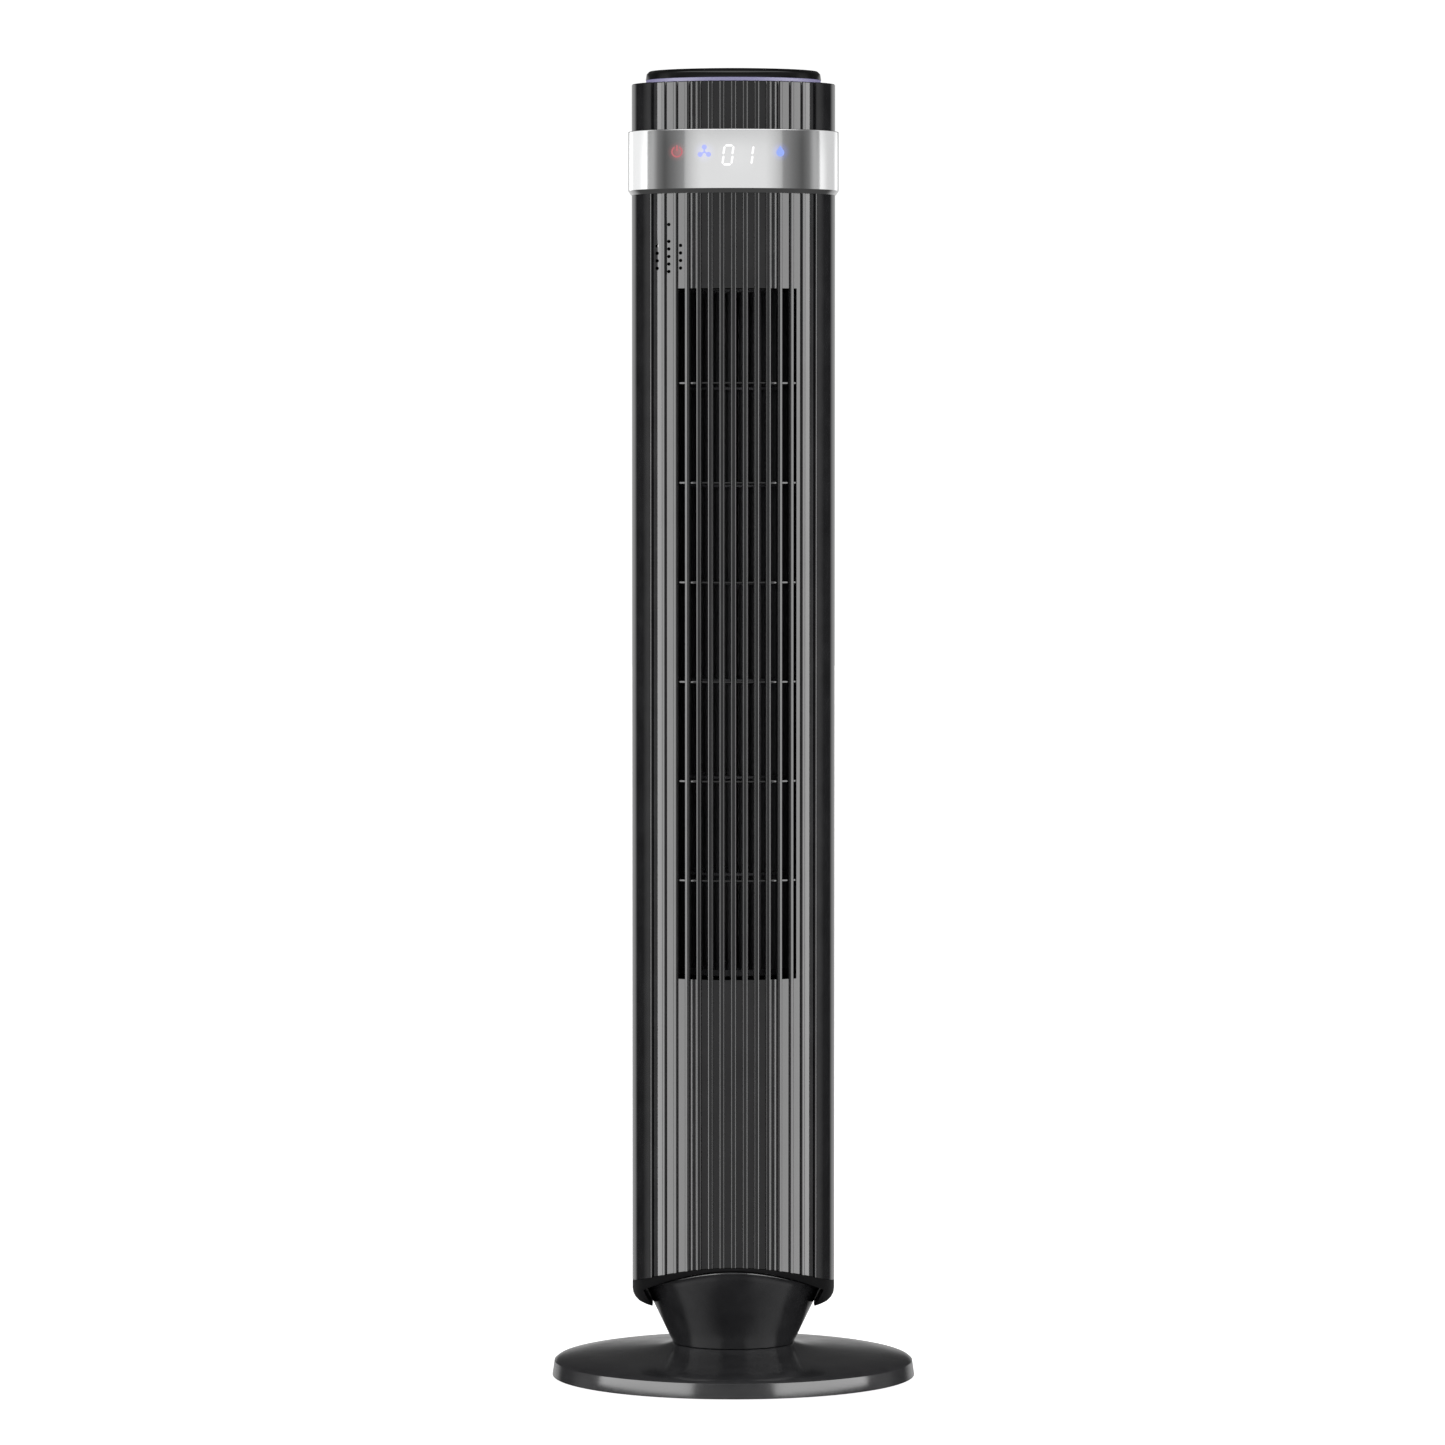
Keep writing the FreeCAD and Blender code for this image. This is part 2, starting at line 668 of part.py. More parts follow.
def osc_motor_bracket():
    holes = [cyl(8.0, 50, 60, 0, PINION_Y)]
    holes += [cyl(1.6, 50, 60, x, PINION_Y) for x in OSC_SCREW_X]
    plate = cut_all(box(-30, 30, 20, 46, 56.0, 58.5), holes)
    legs = [box(x, x + 2.5, 24, 36, NECK_BOTTOM + 4, 56.0) for x in (-30, 27.5)]
    return fuse([plate] + legs)


def osc_motor_screws():
    screws = []
    for x in OSC_SCREW_X:
        head = cyl(2.8, 54.2, 56.0, x, PINION_Y)
        screws.append(head.fuse(cyl(1.5, 56.0, 58.5, x, PINION_Y)))
    return Part.makeCompound(screws)


# ---- air path -----------------------------------------------------------------------------
def guide_point(bearing, radius, z):
    return polar(radius, bearing, z) + vec(0, IMPELLER_Y, 0)


def guide_curve(extra, low):
    """The rear guide opens slowly from the back of the impeller round to the outlet."""
    points = []
    steps = 6
    for index in range(steps + 1):
        bearing = 158 - index * (158 - 62) / steps
        radius = IMPELLER_R + 2.5 + 9.0 * index / steps + extra
        points.append(guide_point(bearing, radius, low))
    curve = Part.BSplineCurve()
    curve.interpolate(points)
    return curve.toShape(), points[0], points[-1]


def guide_wall():
    low = LOWER_PARTITION[1]
    high = UPPER_PARTITION[0]
    inner, inner_start, inner_end = guide_curve(0.0, low)
    outer, outer_start, outer_end = guide_curve(2.0, low)
    lip_inner = vec(OUTLET_RIGHT + 0.6, -56.6, low)
    lip_outer = vec(OUTLET_RIGHT + 2.8, -54.8, low)
    edges = [inner, line(inner_end, lip_inner), line(lip_inner, lip_outer),
             line(lip_outer, outer_end), outer, line(outer_start, inner_start)]
    return solid_of(Part.sortEdges(edges)[0], vec(0, 0, high - low))


def stabiliser():
    """Folded tongue on the left of the outlet that keeps the vortex in place."""
    low = LOWER_PARTITION[1]
    points = [vec(-47.2, -60.2, low), vec(-43.4, -22.0, low), vec(-62.0, -6.0, low),
              vec(-63.3, -7.6, low), vec(-46.0, -23.0, low), vec(-49.4, -58.4, low)]
    points.append(points[0])
    return Part.Face(Part.makePolygon(points)).extrude(vec(0, 0, UPPER_PARTITION[0] - low))


def serrated_strip():
    """Scalloped trim along the left edge of the outlet, which breaks up the whistle."""
    pitch = 10.0
    low = OUTLET_BOTTOM + 3
    teeth = int((OUTLET_TOP - low - 3) / pitch)
    root_x = -48.2
    mid_x = -46.4
    tip_x = -43.9
    face_y = -61.4
    points = [vec(root_x, face_y, low)]
    for index in range(teeth):
        z = low + index * pitch
        points.append(vec(mid_x, face_y, z))
        points.append(vec(tip_x, face_y, z + 0.3 * pitch))
        points.append(vec(tip_x, face_y, z + 0.55 * pitch))
        points.append(vec(mid_x, face_y, z + 0.85 * pitch))
    top = low + teeth * pitch
    points += [vec(mid_x, face_y, top), vec(root_x, face_y, top), points[0]]
    return Part.Face(Part.makePolygon(points)).extrude(vec(0, 1.0, 0))


def partition(low, high, hole):
    plate = cyl(78.0, low, high)
    return cut_all(plate, [cyl(hole, low - 1, high + 1, 0, IMPELLER_Y),
                           cyl(4.0, low - 1, high + 1, HARNESS_X, HARNESS_Y)])


# ---- impeller and its motor ---------------------------------------------------------------
def blade(low, high):
    """One forward-curved blade, as a crescent in plan."""
    inner = vec(BLADE_INNER_R, 0, low)
    outer_angle = math.radians(8)
    outer_r = IMPELLER_R - 0.4
    outer = vec(outer_r * math.cos(outer_angle), outer_r * math.sin(outer_angle), low)
    middle = (inner + outer) * 0.5
    normal = vec(-(outer.y - inner.y), outer.x - inner.x, 0)
    normal.normalize()
    edges = [arc(inner, middle - normal * 1.4, outer), arc(outer, middle - normal * 2.5, inner)]
    return solid_of(edges, vec(0, 0, high - low))


def impeller_wheel(index):
    """One stage: a separator ring with a circle of blades standing on it."""
    stage = (UPPER_PARTITION[0] - 7 - OUTLET_BOTTOM - 3) / OUTLET_ROWS
    low = OUTLET_BOTTOM + 3 + index * stage
    plate = ring(IMPELLER_R, BLADE_INNER_R - 4, low, low + 1.8)
    first = blade(low + 1.0, low + stage)
    blades = [turned(first, 360.0 * number / BLADES) for number in range(BLADES)]
    wheel = plate.multiFuse(blades)
    wheel.translate(vec(0, IMPELLER_Y, 0))
    return wheel


def impeller_hub():
    low = OUTLET_BOTTOM - 2
    disc = cyl(IMPELLER_R, low + 2, low + 5, 0, IMPELLER_Y)
    boss = cyl(11, low - 6, low + 2, 0, IMPELLER_Y)
    return disc.fuse(boss).cut(cyl(SHAFT_R, low - 10, low + 20, 0, IMPELLER_Y))


def impeller_end():
    high = UPPER_PARTITION[0] - 7
    disc = cyl(IMPELLER_R, high, high + 2.5, 0, IMPELLER_Y)
    return disc.cut(cyl(SHAFT_R, high - 5, high + 5, 0, IMPELLER_Y))


def impeller_shaft():
    return cyl(SHAFT_R, MOTOR_BOTTOM + 2.5, 903, 0, IMPELLER_Y)


def motor_can():
    can = cyl(42, MOTOR_BOTTOM, MOTOR_TOP, 0, IMPELLER_Y)
    inside = cyl(39.5, MOTOR_BOTTOM + 2, MOTOR_TOP - 2.5, 0, IMPELLER_Y)
    top_hole = cyl(8.0, MOTOR_TOP - 5, MOTOR_TOP + 1, 0, IMPELLER_Y)
    seat = ring(11, 8.0, MOTOR_BOTTOM + 2, MOTOR_BOTTOM + 10, 0, IMPELLER_Y)
    collar = ring(11, 8.0, MOTOR_TOP - 9, MOTOR_TOP - 2.5, 0, IMPELLER_Y)
    return fuse([can.cut(inside), seat, collar]).cut(top_hole)


def motor_bushes():
    bottom = ring(8.0, SHAFT_R + RUNNING, MOTOR_BOTTOM + 2, MOTOR_BOTTOM + 10, 0, IMPELLER_Y)
    top = ring(8.0, SHAFT_R + RUNNING, MOTOR_TOP - 9, MOTOR_TOP, 0, IMPELLER_Y)
    return Part.makeCompound([bottom, top])


def motor_stator():
    stack = ring(39.5, 25.0, 254, 282, 0, IMPELLER_Y)
    coils = ring(37.0, 27.0, 250, 286, 0, IMPELLER_Y)
    return stack.fuse(coils)


def motor_rotor():
    return ring(24.4, SHAFT_R, 252, 284, 0, IMPELLER_Y)


def mount_places(radius):
    places = []
    for index in range(3):
        place = polar(radius, 60 + 120 * index) + vec(0, IMPELLER_Y, 0)
        places.append((place.x, place.y))
    return places


def motor_rubbers():
    return Part.makeCompound([ring(6.0, 2.2, MOTOR_TOP, 305, x, y)
                              for x, y in mount_places(33)])


def motor_screws():
    screws = []
    for x, y in mount_places(33):
        screws.append(cyl(2.0, MOTOR_TOP, 308, x, y).fuse(cyl(4.0, 308, 310.5, x, y)))
    return Part.makeCompound(screws)


def motor_bracket():
    plate = ring(58, 13.0, 305, 308, 0, IMPELLER_Y)
    plate = cut_all(plate, [cyl(2.2, 300, 310, x, y) for x, y in mount_places(33)])
    posts = [cyl(4.0, 308, LOWER_PARTITION[0], x, y) for x, y in mount_places(52)]
    return fuse([plate] + posts)


def upper_bush():
    return ring(8.0, SHAFT_R + RUNNING, UPPER_PARTITION[0], 903, 0, IMPELLER_Y)


def bearing_rubber():
    return ring(14.0, 8.0, UPPER_PARTITION[0], 902, 0, IMPELLER_Y)


# ---- electrics and fasteners --------------------------------------------------------------
HARNESS_X = 64.0
HARNESS_Y = 14.0


def power_board():
    return box(-40, 40, 42, 43.6, 112, 190)


def power_board_parts():
    parts = [box(-32, -4, 20, 42, 118, 146), box(8, 34, 30, 42, 150, 166)]
    for x in (8, 22, 34):
        parts.append(Part.makeCylinder(5.0, 22, vec(x, 20, 126), vec(0, 1, 0)))
    return Part.makeCompound(parts)


def wiring_harness():
    bundle = 2.6
    riser = cyl(bundle, 130, 985, HARNESS_X, HARNESS_Y)
    low_run = vec(40, 38.6, 130) - vec(HARNESS_X, HARNESS_Y, 130)
    foot = Part.makeCylinder(bundle, low_run.Length, vec(HARNESS_X, HARNESS_Y, 130), low_run)
    high_run = vec(44, -57.0, 985) - vec(HARNESS_X, HARNESS_Y, 985)
    head = Part.makeCylinder(bundle, high_run.Length, vec(HARNESS_X, HARNESS_Y, 985), high_run)
    corners = [Part.makeSphere(bundle, vec(HARNESS_X, HARNESS_Y, z)) for z in (130, 985)]
    return fuse([riser, foot, head] + corners)


def shell_screw_places():
    return [(x, z) for x in (-58.0, 58.0) for z in (130.0, 312.0, 925.0)]


def shell_screws():
    screws = []
    for x, z in shell_screw_places():
        head = Part.makeCylinder(3.5, 3, vec(x, 52, z), vec(0, 1, 0))
        screws.append(head.fuse(Part.makeCylinder(1.6, 20, vec(x, 32, z), vec(0, 1, 0))))
    return Part.makeCompound(screws)


# ---- export -------------------------------------------------------------------------------
def main():
    os.makedirs("parts", exist_ok=True)
    builders = [base_cover, base_plate, base_ballast, rubber_feet, base_screws, swivel_post,
                post_screws, slide_washer, sun_gear, retaining_nut, cord_gland,
                neck_cone, swivel_bush, foot_cap, column_floor, front_shell, rear_shell,
                rear_grille, handle_cup, cap_shell, control_band, display_icons, light_guide,
                control_board, display_leds, speaker, led_ring_board, light_diffuser, top_lid,
                power_board, power_board_parts, wiring_harness, shell_screws,
                osc_pinion, osc_motor, osc_motor_bracket, osc_motor_screws,
                guide_wall, stabiliser, serrated_strip,
                impeller_shaft, impeller_hub, impeller_end, motor_can, motor_bushes,
                motor_stator, motor_rotor, motor_rubbers, motor_screws, motor_bracket,
                upper_bush, bearing_rubber]
    for build in builders:
        save(build.__name__, build())
    save("lower_partition", partition(*LOWER_PARTITION, hole=14.0))
    save("upper_partition", partition(*UPPER_PARTITION, hole=14.0))
    # The seven stages are alike, so they share one node as a stack of separate solids.
    save("impeller_wheels", Part.makeCompound([impeller_wheel(i) for i in range(OUTLET_ROWS)]))


main()
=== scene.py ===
# %% [markdown]
# # A tower fan in gloss black, built around its CAD frame
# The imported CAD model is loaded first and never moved. It already holds everything that turns
# or carries load. This lesson adds what the eye sees: shells with rounded edges, a satin silver
# touch band, a glowing ring and the finish of every material. All lengths are in metres, so
# sizes that a maker would give in millimetres are multiplied by MM.

# %% Load the frame
import json
import math

import bmesh
import bpy
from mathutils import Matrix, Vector

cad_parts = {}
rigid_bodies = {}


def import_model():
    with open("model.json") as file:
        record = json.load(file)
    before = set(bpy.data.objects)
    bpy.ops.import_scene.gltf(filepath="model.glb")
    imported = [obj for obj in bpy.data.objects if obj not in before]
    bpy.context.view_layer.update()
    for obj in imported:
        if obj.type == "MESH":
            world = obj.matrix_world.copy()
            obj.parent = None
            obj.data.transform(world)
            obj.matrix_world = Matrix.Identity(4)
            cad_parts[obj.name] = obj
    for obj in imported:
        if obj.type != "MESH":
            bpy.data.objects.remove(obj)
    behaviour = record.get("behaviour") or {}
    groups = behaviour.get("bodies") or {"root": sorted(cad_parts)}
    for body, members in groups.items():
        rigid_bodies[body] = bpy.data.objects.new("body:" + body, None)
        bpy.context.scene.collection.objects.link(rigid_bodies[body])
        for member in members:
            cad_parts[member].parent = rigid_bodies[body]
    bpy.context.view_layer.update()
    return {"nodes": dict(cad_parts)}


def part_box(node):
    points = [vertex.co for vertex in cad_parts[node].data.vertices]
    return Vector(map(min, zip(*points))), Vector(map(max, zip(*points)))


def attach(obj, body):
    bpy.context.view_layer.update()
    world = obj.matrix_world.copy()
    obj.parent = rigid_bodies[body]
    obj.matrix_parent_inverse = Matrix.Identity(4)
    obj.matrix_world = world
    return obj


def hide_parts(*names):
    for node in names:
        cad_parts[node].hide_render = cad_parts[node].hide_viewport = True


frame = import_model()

MM = 0.001

# %% [markdown]
# ## Sizes that come from the frame
# A node's box gives its radius and its heights at rest, so nothing is measured twice. The rib
# pitch, the land radius and the outlet's edges can't be read from a box, so they are repeated
# here as the design gives them.

# %% Measure the frame
COLUMN_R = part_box("rear_shell")[1][1]
SHELL_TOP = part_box("rear_shell")[1][2]
BAND_LOW, BAND_HIGH = (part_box("control_band")[i][2] for i in (0, 1))
BAND_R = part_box("control_band")[1][0]
CAP_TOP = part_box("cap_shell")[1][2]
GLOW_LOW, GLOW_TOP = (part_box("light_diffuser")[i][2] for i in (0, 1))
GLOW_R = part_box("light_diffuser")[1][0]
LID_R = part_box("top_lid")[1][0]
TOTAL_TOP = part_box("top_lid")[1][2]
BASE_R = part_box("base_cover")[1][0]
BASE_LOW, BASE_TOP = (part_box("base_cover")[i][2] for i in (0, 1))

LAND_R = 80.9 * MM
FRONT_INNER_R = 78.4 * MM
REAR_INNER_R = 80.0 * MM
SEAM_BEARING = 53.4
RIB_PITCH = 9.47 * MM
RIB_WIDTH = 4.0 * MM
RIBS_EACH_SIDE = 6
ARCH_TOP = 98.8 * MM
ARCH_R = 194.0 * MM
OUTLET_X = (-45.0 * MM, 50.8 * MM)
OUTLET_Z = (331.7 * MM, 888.6 * MM)
OUTLET_ROWS = 7
INTAKE_BEARING = 50.0
INTAKE_Z = (345.0 * MM, 875.0 * MM)
print("column radius", round(COLUMN_R / MM, 1), "base radius", round(BASE_R / MM, 1))

# %% [markdown]
# ## The camera and the studio
# The fan is seen from straight in front with a long lens, from below the top band and above the
# base. The floor is plain and pale. Soft light comes from the front and from two tall panels
# beside the fan: a gloss black column shows nothing but what it reflects, so the place and
# width of the panels decide where its bright stripes are.

# %% Camera
bpy.context.scene.view_settings.view_transform = "Standard"
CAMERA_X = -8.9 * MM
CAMERA_DISTANCE = 5.747
CAMERA_HEIGHT = 0.8054
AIM_HEIGHT = 0.5359

bpy.ops.object.camera_add(location=(CAMERA_X, -CAMERA_DISTANCE, CAMERA_HEIGHT))
camera = bpy.context.object
camera.data.sensor_width = 36.0
camera.data.lens = 175.63
camera.data.clip_end = 100.0
view_line = Vector((CAMERA_X, 0, AIM_HEIGHT)) - camera.location
camera.rotation_euler = view_line.to_track_quat("-Z", "Y").to_euler()
bpy.context.scene.camera = camera
print("camera height", CAMERA_HEIGHT, "lens", camera.data.lens)

# %% [markdown]
# ## One helper for shader nodes
# Every material below is a short list of nodes. This helper adds one node, sets its sockets and
# properties by name and links what is passed as a node output. A second helper turns an sRGB
# hex colour into the linear values that the renderer works in. The small ones below them stand
# for groups of nodes that come back again and again.

# %% Node and colour helpers
def linear(hex_code, alpha=1.0):
    """Linear RGBA of an sRGB hex colour."""
    values = []
    for start in (1, 3, 5):
        value = int(hex_code[start:start + 2], 16) / 255
        values.append(value / 12.92 if value <= 0.04045 else ((value + 0.055) / 1.055) ** 2.4)
    return (*values, alpha)


def add_node(tree, kind, sockets=None, **settings):
    """Add a node; settings are its properties, sockets its inputs by name or number."""
    node = tree.nodes.new(kind)
    for name, value in settings.items():
        setattr(node, name, value)
    for key, value in (sockets or {}).items():
        if isinstance(value, bpy.types.NodeSocket):
            tree.links.new(value, node.inputs[key])
        else:
            node.inputs[key].default_value = value
    return node


def new_material(name):
    """Empty material with its output and a Principled shader."""
    material = bpy.data.materials.new(name)
    material.use_nodes = True
    tree = material.node_tree
    tree.nodes.clear()
    shader = add_node(tree, "ShaderNodeBsdfPrincipled")
    add_node(tree, "ShaderNodeOutputMaterial", {"Surface": shader.outputs["BSDF"]})
    return material, tree, shader


def ramp_stops(node, stops):
    """Set a colour ramp's stops from (position, colour) pairs."""
    elements = node.color_ramp.elements
    while len(elements) < len(stops):
        elements.new(1.0)
    for element, (position, colour) in zip(elements, stops):
        element.position = position
        element.color = colour


def graded(tree, value, low, high):
    """Output that runs from 0 to 1 while a value runs from low to high."""
    return add_node(tree, "ShaderNodeMapRange",
                    {"Value": value, "From Min": low, "From Max": high}).outputs[0]


def blend(tree, factor, first, second, **settings):
    """Output that mixes two colours."""
    return add_node(tree, "ShaderNodeMix", {"Factor": factor, 6: first, 7: second},
                    data_type="RGBA", **settings).outputs[2]


print("white is", linear("#ffffff"))

# %% [markdown]
# ## The floor
# The fan stands on a seamless white floor that glows faintly, so it stays as white as the
# backdrop. Glossy surfaces don't see it: their light comes from the room and the panels.

# %% Floor
bpy.ops.object.select_all(action="DESELECT")
bpy.ops.mesh.primitive_plane_add(size=30.0)
floor = bpy.context.object
floor.name = "floor"
floor_material, tree, shader = new_material("matt_white_floor")
shader.inputs["Base Color"].default_value = linear("#f4f4f4")
shader.inputs["Roughness"].default_value = 0.9
shader.inputs["Specular IOR Level"].default_value = 0.1
shader.inputs["Emission Color"].default_value = linear("#ffffff")
shader.inputs["Emission Strength"].default_value = 1.0
floor.data.materials.append(floor_material)
floor.visible_glossy = False
print("floor laid")

# %% [markdown]
# ## Soft light all around
# The world is a dim room with a broad pale wall behind the camera and a bright strip above it,
# which draws the thin light line along every rounded top edge. Behind the fan only a low strip is
# bright, for the thin bright outline of the column. An image of a real room could light the scene
# too, but a few ramps over the direction need no file and every tone can be set by name. The
# camera itself sees plain white behind the fan.

# %% World light
FRONT_WALL = 0.62
SIDE_ROOM = 0.09
SIDE_FADE = 0.45
BACK_CORNER = 0.04
BACK_WALL = 0.62
CEILING = 0.20
BACK_CEILING = 0.06
OVERHEAD = 2.2
PIT = 0.06


def grey(value):
    return (value, value, value, 1.0)


world = bpy.data.worlds.new("soft_room")
bpy.context.scene.world = world
world.use_nodes = True
tree = world.node_tree
tree.nodes.clear()
direction = add_node(tree, "ShaderNodeTexCoord").outputs["Generated"]
axes = add_node(tree, "ShaderNodeSeparateXYZ", {0: direction})
flat = add_node(tree, "ShaderNodeCombineXYZ", {"X": axes.outputs["X"], "Y": axes.outputs["Y"]})
level = add_node(tree, "ShaderNodeVectorMath", {0: flat.outputs[0]}, operation="NORMALIZE")
facing = add_node(tree, "ShaderNodeSeparateXYZ", {0: level.outputs[0]})
around = graded(tree, facing.outputs["Y"], -1.0, 1.0)
wall = add_node(tree, "ShaderNodeValToRGB", {"Fac": around})
ramp_stops(wall, [(0.09, grey(FRONT_WALL)), (0.14, grey(0.8 * FRONT_WALL)),
                  (0.20, grey(0.5 * FRONT_WALL)), (0.31, grey(2 * SIDE_ROOM)),
                  (0.42, grey(SIDE_ROOM)), (0.51, grey(2 * SIDE_ROOM)), (0.58, grey(SIDE_FADE)),
                  (0.70, grey(SIDE_FADE)), (0.79, grey(BACK_CORNER * 2)),
                  (0.90, grey(BACK_CORNER)), (0.94, grey(BACK_WALL)), (1.00, grey(BACK_WALL))])
height = graded(tree, axes.outputs["Z"], 0.12, 0.30)
front_room = blend(tree, height, wall.outputs["Color"], grey(CEILING))
behind = graded(tree, facing.outputs["Y"], 0.2, 0.6)
back_height = graded(tree, axes.outputs["Z"], 0.05, 0.12)
back_dark = add_node(tree, "ShaderNodeMath", {0: behind, 1: back_height}, operation="MULTIPLY")
room = blend(tree, back_dark.outputs[0], front_room, grey(BACK_CEILING))
overhead = add_node(tree, "ShaderNodeValToRGB", {"Fac": axes.outputs["Z"]})
ramp_stops(overhead, [(0.0, grey(0)), (0.36, grey(0)), (0.42, grey(OVERHEAD)),
                      (0.66, grey(OVERHEAD)), (0.72, grey(0))])
ahead = graded(tree, facing.outputs["Y"], 0.1, -0.4)
strip = blend(tree, ahead, grey(0), overhead.outputs["Color"])
lit_room = blend(tree, 1.0, room, strip, blend_type="ADD")
depth = graded(tree, axes.outputs["Z"], -0.15, -0.45)
below = blend(tree, depth, lit_room, grey(PIT))
room_light = add_node(tree, "ShaderNodeBackground", {"Color": below})
seen_light = add_node(tree, "ShaderNodeBackground", {"Color": (1, 1, 1, 1), "Strength": 1.05})
path = add_node(tree, "ShaderNodeLightPath")
split = add_node(tree, "ShaderNodeMixShader", {0: path.outputs["Is Camera Ray"],
                                               1: room_light.outputs[0],
                                               2: seen_light.outputs[0]})
add_node(tree, "ShaderNodeOutputWorld", {"Surface": split.outputs[0]})
print("world light set")

# %% [markdown]
# ## Panels of light
# Two tall panels stand beside the fan. The silver band would mirror them as glaring patches, so
# they don't light it. It has two panels of its own further back, and three wide ones in front,
# one inside the other, whose steps blur into a soft edge. Two low panels, nearer the front, light
# only the base and the neck, whose rims turn the light upwards.

# %% Light panels
fan_lit = bpy.data.collections.new("lit_by_side_panels")
band_lit = bpy.data.collections.new("lit_by_band_panels")
base_lit = bpy.data.collections.new("lit_by_low_panels")


def light_panel(name, bearing, distance, width, low, high, radiance, receivers):
    """Rectangular panel at a bearing from the front, facing the column."""
    angle = math.radians(bearing)
    middle = Vector((distance * math.sin(angle), -distance * math.cos(angle), (low + high) / 2))
    bpy.ops.object.light_add(type="AREA", location=middle)
    lamp = bpy.context.object
    lamp.name = name
    lamp.data.shape = "RECTANGLE"
    lamp.data.size = width
    lamp.data.size_y = high - low
    lamp.data.energy = radiance * math.pi * width * (high - low)
    inward = Vector((-middle.x, -middle.y, 0))
    lamp.rotation_euler = inward.to_track_quat("-Z", "Y").to_euler()
    lamp.visible_camera = False
    lamp.light_linking.receiver_collection = receivers
    return lamp


BAND_LIGHT = {-1: 0.90, 1: 0.62}
FRONT_PANEL_DISTANCE = 1.5
for side, band_light in BAND_LIGHT.items():
    light_panel("side_panel", side * 70.9, 0.80, 0.72, -0.2, 1.7, 5.2, fan_lit)
    light_panel("band_panel", side * 130, 0.90, 0.84, 0.8, 1.8, band_light, band_lit)
    light_panel("low_panel", side * 56, 0.80, 1.00, 0.01, 0.8, 6.5, base_lit)
for reach in (38, 46, 54):
    front_width = 2 * FRONT_PANEL_DISTANCE * math.tan(math.radians(reach))
    light_panel("band_front_panel", 0, FRONT_PANEL_DISTANCE, front_width, 0.6, 1.8, 0.20, band_lit)

# %% [markdown]
# ## Drawing outlines
# Turned and extruded parts start the same way: a plane is merged to a single vertex, and that
# vertex is extruded along the outline. Corners that a moulder would round are given a radius,
# and the arc's points come from a formula.

# %% Outline helpers
def rounded(points, corners, steps=5):
    """Outline with some corners replaced by arcs; corners maps a point's index to its radius."""
    result = []
    count = len(points)
    for index, point in enumerate(points):
        radius = corners.get(index, 0.0)
        if radius == 0.0:
            result.append(Vector(point))
            continue
        here = Vector(point)
        before = (Vector(points[index - 1]) - here).normalized()
        after = (Vector(points[(index + 1) % count]) - here).normalized()
        half = before.angle(after) / 2
        reach = radius / math.tan(half)
        centre = here + (before + after).normalized() * radius / math.sin(half)
        start = here + before * reach - centre
        end = here + after * reach - centre
        for step in range(steps + 1):
            result.append(centre + radius * start.slerp(end, step / steps))
    return result


def pick(piece):
    """Make a piece the only selected one and the active one."""
    bpy.ops.object.select_all(action="DESELECT")
    piece.select_set(True)
    bpy.context.view_layer.objects.active = piece


def start_piece(name):
    """New piece in edit mode: a plane merged to one selected vertex at the origin."""
    bpy.ops.object.select_all(action="DESELECT")
    bpy.ops.mesh.primitive_plane_add(size=0.01)
    piece = bpy.context.object
    piece.name = name
    piece.data.name = name
    bpy.ops.object.mode_set(mode="EDIT")
    bpy.ops.mesh.select_all(action="SELECT")
    bpy.ops.mesh.merge(type="CENTER")
    return piece


def draw(points, closed=False):
    """Extrude the selected vertex at the origin along a list of 3-D points."""
    bpy.ops.transform.translate(value=points[0])
    stops = list(points) + ([points[0]] if closed else [])
    for here, there in zip(stops, stops[1:]):
        step = Vector(there) - Vector(here)
        bpy.ops.mesh.extrude_region_move(TRANSFORM_OT_translate={"value": step})
    bpy.ops.mesh.select_all(action="SELECT")
    bpy.ops.mesh.remove_doubles(threshold=1e-6)


def leave_edit(piece):
    """Turn every face outwards and leave edit mode."""
    bpy.ops.mesh.select_all(action="SELECT")
    bpy.ops.mesh.normals_make_consistent(inside=False)
    bpy.ops.object.mode_set(mode="OBJECT")
    return piece


def finish_piece(piece, body, material, node=None, smooth=30.0):
    """Leave edit mode, shade softly and ride on the body."""
    if bpy.context.mode == "EDIT_MESH":
        leave_edit(piece)
    bpy.ops.object.shade_smooth_by_angle(angle=math.radians(smooth))
    piece.data.materials.clear()
    piece.data.materials.append(material)
    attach(piece, body)
    if node:
        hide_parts(node)
    print(piece.name, len(piece.data.polygons), "faces")
    return piece


def turn(name, outline, corners=None, steps=192, start=0.0, sweep=360.0):
    """Turn an (r, z) outline about the fan's axis, all round or between two bearings."""
    flat = [(r, z, 0.0) for r, z in outline]
    angle = math.radians(start)
    points = []
    for point in rounded(flat, corners or {}):
        points.append(Vector((point.x * math.sin(angle), -point.x * math.cos(angle), point.y)))
    piece = start_piece(name)
    draw(points, closed=True)
    if sweep < 360.0:
        bpy.ops.mesh.edge_face_add()
    bpy.ops.mesh.spin(steps=steps, angle=-math.radians(sweep), center=(0, 0, 0), axis=(0, 0, 1))
    bpy.ops.mesh.select_all(action="SELECT")
    bpy.ops.mesh.remove_doubles(threshold=1e-6)
    return piece


def prism(name, outline, push):
    """Closed outline filled with a face and pushed along a vector."""
    piece = start_piece(name)
    draw([Vector(point) for point in outline], closed=True)
    bpy.ops.mesh.edge_face_add()
    bpy.ops.mesh.extrude_region_move(TRANSFORM_OT_translate={"value": push})
    return leave_edit(piece)


def cut(piece, cutter):
    """Subtract a cutter with a Boolean modifier and throw the cutter away."""
    pick(piece)
    boolean = piece.modifiers.new("cut", "BOOLEAN")
    boolean.object = cutter
    boolean.operation = "DIFFERENCE"
    boolean.solver = "EXACT"
    bpy.ops.object.modifier_apply(modifier=boolean.name)
    bpy.data.objects.remove(cutter)


